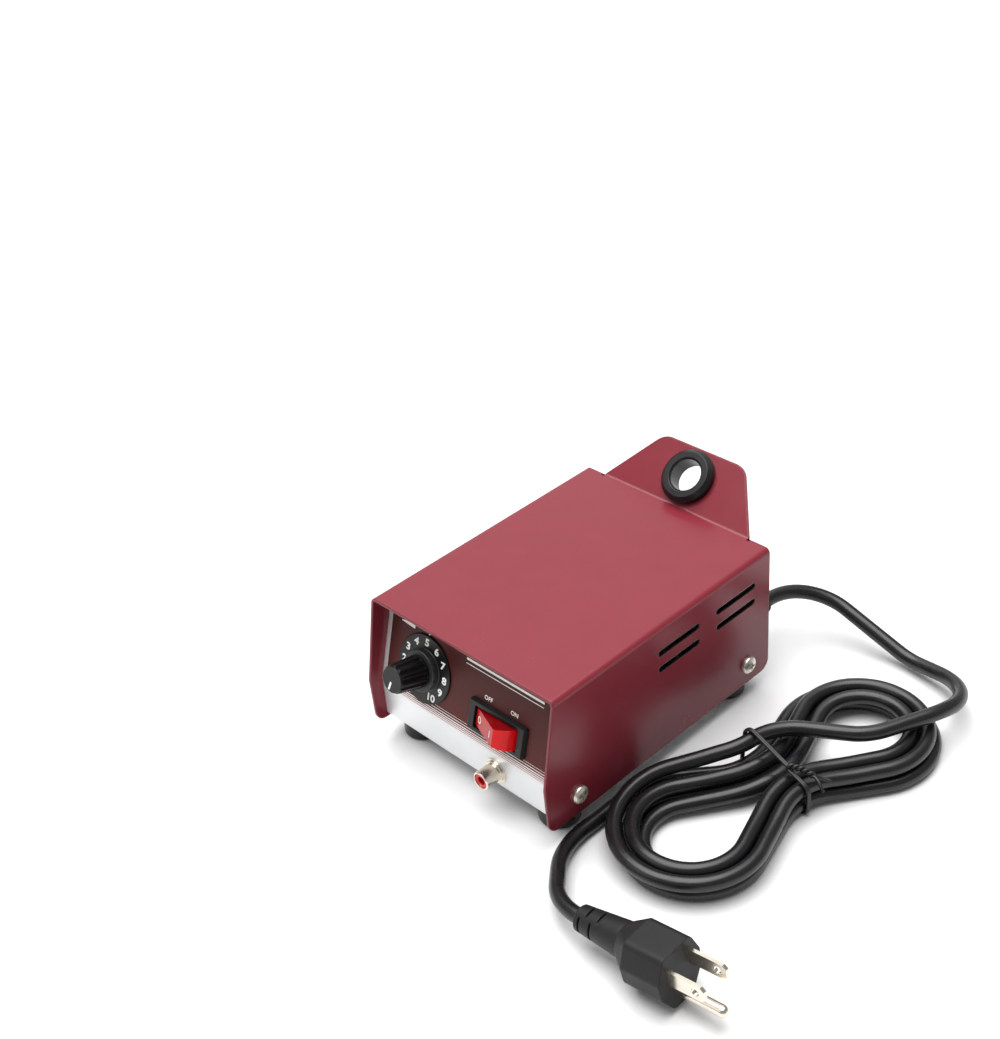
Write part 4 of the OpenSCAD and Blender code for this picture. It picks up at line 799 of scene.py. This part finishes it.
PLAIN = {
    "burgundy_paint": dict(colour=srgb(122, 39, 50), gloss=(0.22, 0.28), tone=0.035, tone_scale=70.0,
                           grain=1800.0, depth=0.000008, strength=0.25, edge=1.0, rims=vent_rims,
                           Specular_IOR_Level=0.33),
    "silver_sheet": dict(colour=srgb(224, 226, 227), gloss=(0.32, 0.44), tone=0.02, grain=700.0,
                         depth=0.000006, strength=0.2, lines=True, edge=0.3, worn=0.1, Metallic=0.45),
    "nickel": dict(colour=srgb(228, 220, 206), gloss=(0.14, 0.26), tone=0.05, tone_scale=300.0,
                   grain=1800.0, depth=0.00001, strength=0.2, Metallic=1.0),
    "screw_zinc": dict(colour=srgb(232, 226, 214), gloss=(0.3, 0.42), tone=0.05, tone_scale=300.0,
                       grain=1800.0, depth=0.00001, strength=0.2, edge=0.15, Metallic=1.0),
    "black_rubber": dict(colour=srgb(13, 13, 14), gloss=(0.26, 0.38), tone=0.2, tone_scale=120.0,
                         grain=2200.0, depth=0.00003, strength=0.2, dust=0.04, edge=0.4, worn=0.05,
                         Specular_IOR_Level=0.4),
    "plug_jacket": dict(colour=srgb(23, 23, 24), gloss=(0.42, 0.56), tone=0.2, tone_scale=150.0,
                        grain=1700.0, depth=0.00003, strength=0.3, dust=0.08, edge=0.7, worn=0.2,
                        Specular_IOR_Level=0.3),
    "tie_wrap": dict(colour=srgb(22, 22, 23), gloss=(0.38, 0.5), tone=0.2, tone_scale=300.0, grain=2500.0),
    "knob_black": dict(colour=srgb(11, 11, 11), gloss=(0.3, 0.42), tone=0.15, tone_scale=200.0,
                       grain=2400.0, depth=0.00003, strength=0.3, edge=0.2, worn=0.1,
                       Specular_IOR_Level=0.3),
    "cap_grey": dict(colour=srgb(20, 21, 22), gloss=(0.34, 0.46), tone=0.08, tone_scale=300.0,
                     grain=1600.0, lines=True, Specular_IOR_Level=0.3),
    "white_mark": dict(colour=srgb(236, 235, 230), gloss=(0.5, 0.62), tone=0.05, tone_scale=900.0,
                       grain=3000.0),
    "brass": dict(colour=srgb(190, 158, 92), gloss=(0.22, 0.36), tone=0.1, grain=1500.0, lines=True,
                  Metallic=1.0),
    "steel": dict(colour=srgb(186, 188, 188), gloss=(0.28, 0.42), tone=0.08, grain=1500.0, lines=True,
                  Metallic=1.0),
    "switch_black": dict(colour=srgb(15, 17, 17), gloss=(0.36, 0.48), tone=0.12, tone_scale=200.0,
                         grain=2000.0, depth=0.00004, strength=0.35, edge=0.4, worn=0.15,
                         Specular_IOR_Level=0.35),
    "socket_red": dict(colour=srgb(196, 24, 30), gloss=(0.22, 0.34), tone=0.08, tone_scale=200.0,
                       grain=2000.0),
    "core_iron": dict(colour=srgb(96, 98, 102), gloss=(0.5, 0.66), tone=0.15, grain=900.0, lines=True,
                      Metallic=0.6),
    "coil_copper": dict(colour=srgb(186, 152, 74), gloss=(0.42, 0.58), tone=0.15, tone_scale=200.0,
                        grain=1200.0, depth=0.0001, strength=0.5, lines=True),
    "board_green": dict(colour=srgb(52, 98, 54), gloss=(0.3, 0.42), tone=0.1, grain=1800.0),
    "sink_aluminium": dict(colour=srgb(176, 180, 182), gloss=(0.34, 0.48), grain=900.0, lines=True,
                           Metallic=1.0),
    "capacitor_blue": dict(colour=srgb(40, 68, 124), gloss=(0.24, 0.34), tone=0.06, grain=1200.0),
    "block_green": dict(colour=srgb(58, 122, 90), gloss=(0.36, 0.48), tone=0.08, grain=1800.0),
    "wire_dark": dict(colour=srgb(34, 34, 35), gloss=(0.4, 0.52), tone=0.12, grain=2000.0),
    "wire_red": dict(colour=srgb(170, 36, 32), gloss=(0.4, 0.52), tone=0.1, grain=2000.0),
    "wire_pale": dict(colour=srgb(200, 194, 164), gloss=(0.4, 0.52), tone=0.08, grain=2000.0),
}
FINISHES = {name: plain_finish(name, **values) for name, values in PLAIN.items()}
FINISHES |= {"printed_film": film_finish(), "dial_black": dial_finish(), "cord_jacket": cord_finish(),
             "rocker_red": rocker_finish()}
OWN_FINISH = {"plug_body": "plug_jacket", "dial_skirt": "dial_black", "cover_screws": "screw_zinc"}


def dress(piece, material):
    """The material on every face of a piece."""
    if piece.material_slots:
        for place in piece.material_slots:
            place.material = material
    else:
        piece.data.materials.append(material)


for part in frame["record"]["subparts"]:
    dress(cad[part["node"]], FINISHES[OWN_FINISH.get(part["node"], part["material_slot"])])
dress(cord, FINISHES["cord_jacket"])
dress(tie, FINISHES["tie_wrap"])
for piece in (numbers, marks, signs):
    dress(piece, FINISHES["white_mark"])


# Floor and light

FLOOR_HALF, FLOOR_Z, FLOOR_TONE = 6.0, -0.0002, (0.75, 0.75, 0.75, 1)
SKY_LIGHT, SKY_SEEN = 0.32, 1.0
# A broad even light from above, a weak fill from the front, and a card for the gloss to mirror
LAMPS = (
    ("over_bench", "SUN", {"energy": 4.9, "angle": 1.1}, (-0.18, 0.0, 0.98)),
    ("front_fill", "AREA", {"shape": "SQUARE", "size": 0.9, "energy": 2.0}, (-0.5, -1.2, 0.7)),
    ("pale_card", "AREA", {"shape": "SQUARE", "size": 3.0, "energy": 22.0}, (-2.4, 2.1, 2.1)),
)


def bench():
    """A wide pale floor just under the feet."""
    xy = FLOOR_HALF * np.array([[-1, -1], [1, -1], [1, 1], [-1, 1]])
    mesh = bpy.data.meshes.new("bench")
    mesh.from_pydata(np.concatenate([xy, np.full((4, 1), FLOOR_Z)], axis=1).tolist(), [], [[0, 1, 2, 3]])
    floor = bpy.data.objects.new("bench", mesh)
    scene.collection.objects.link(floor)
    dress(floor, plain_finish("bench_paper", FLOOR_TONE, (0.7, 0.8), tone=0.005, tone_scale=8.0, grain=400.0))


def sky():
    """A white sky that lights softly and is seen as pale as the floor."""
    world = bpy.data.worlds.new("studio")
    world.use_nodes = True
    tree = world.node_tree
    pale = tree.nodes["Background"].inputs
    pale["Color"].default_value = (1, 1, 1, 1)
    seen = tree.nodes.new("ShaderNodeLightPath").outputs["Is Camera Ray"]
    tree.links.new(spread(tree, seen, 0.0, 1.0, SKY_LIGHT, SKY_SEEN), pale["Strength"])
    scene.world = world
    scene.view_settings.view_transform = "Standard"


def lamp(name, kind, settings, place):
    """A light that shines from a place at the frame's middle and isn't itself seen."""
    light = bpy.data.lights.new(name, kind)
    for key, value in settings.items():
        setattr(light, key, value)
    holder = bpy.data.objects.new(name, light)
    holder.visible_camera = False
    scene.collection.objects.link(holder)
    back = unit(np.array(place))
    right = unit(np.cross([0.001, 1.0, 0.0], back))
    turned = np.eye(4)
    turned[:3] = np.stack([right, np.cross(back, right), back, place], axis=1)
    holder.matrix_world = Matrix(turned.tolist())


bench()
sky()
for values in LAMPS:
    lamp(*values)
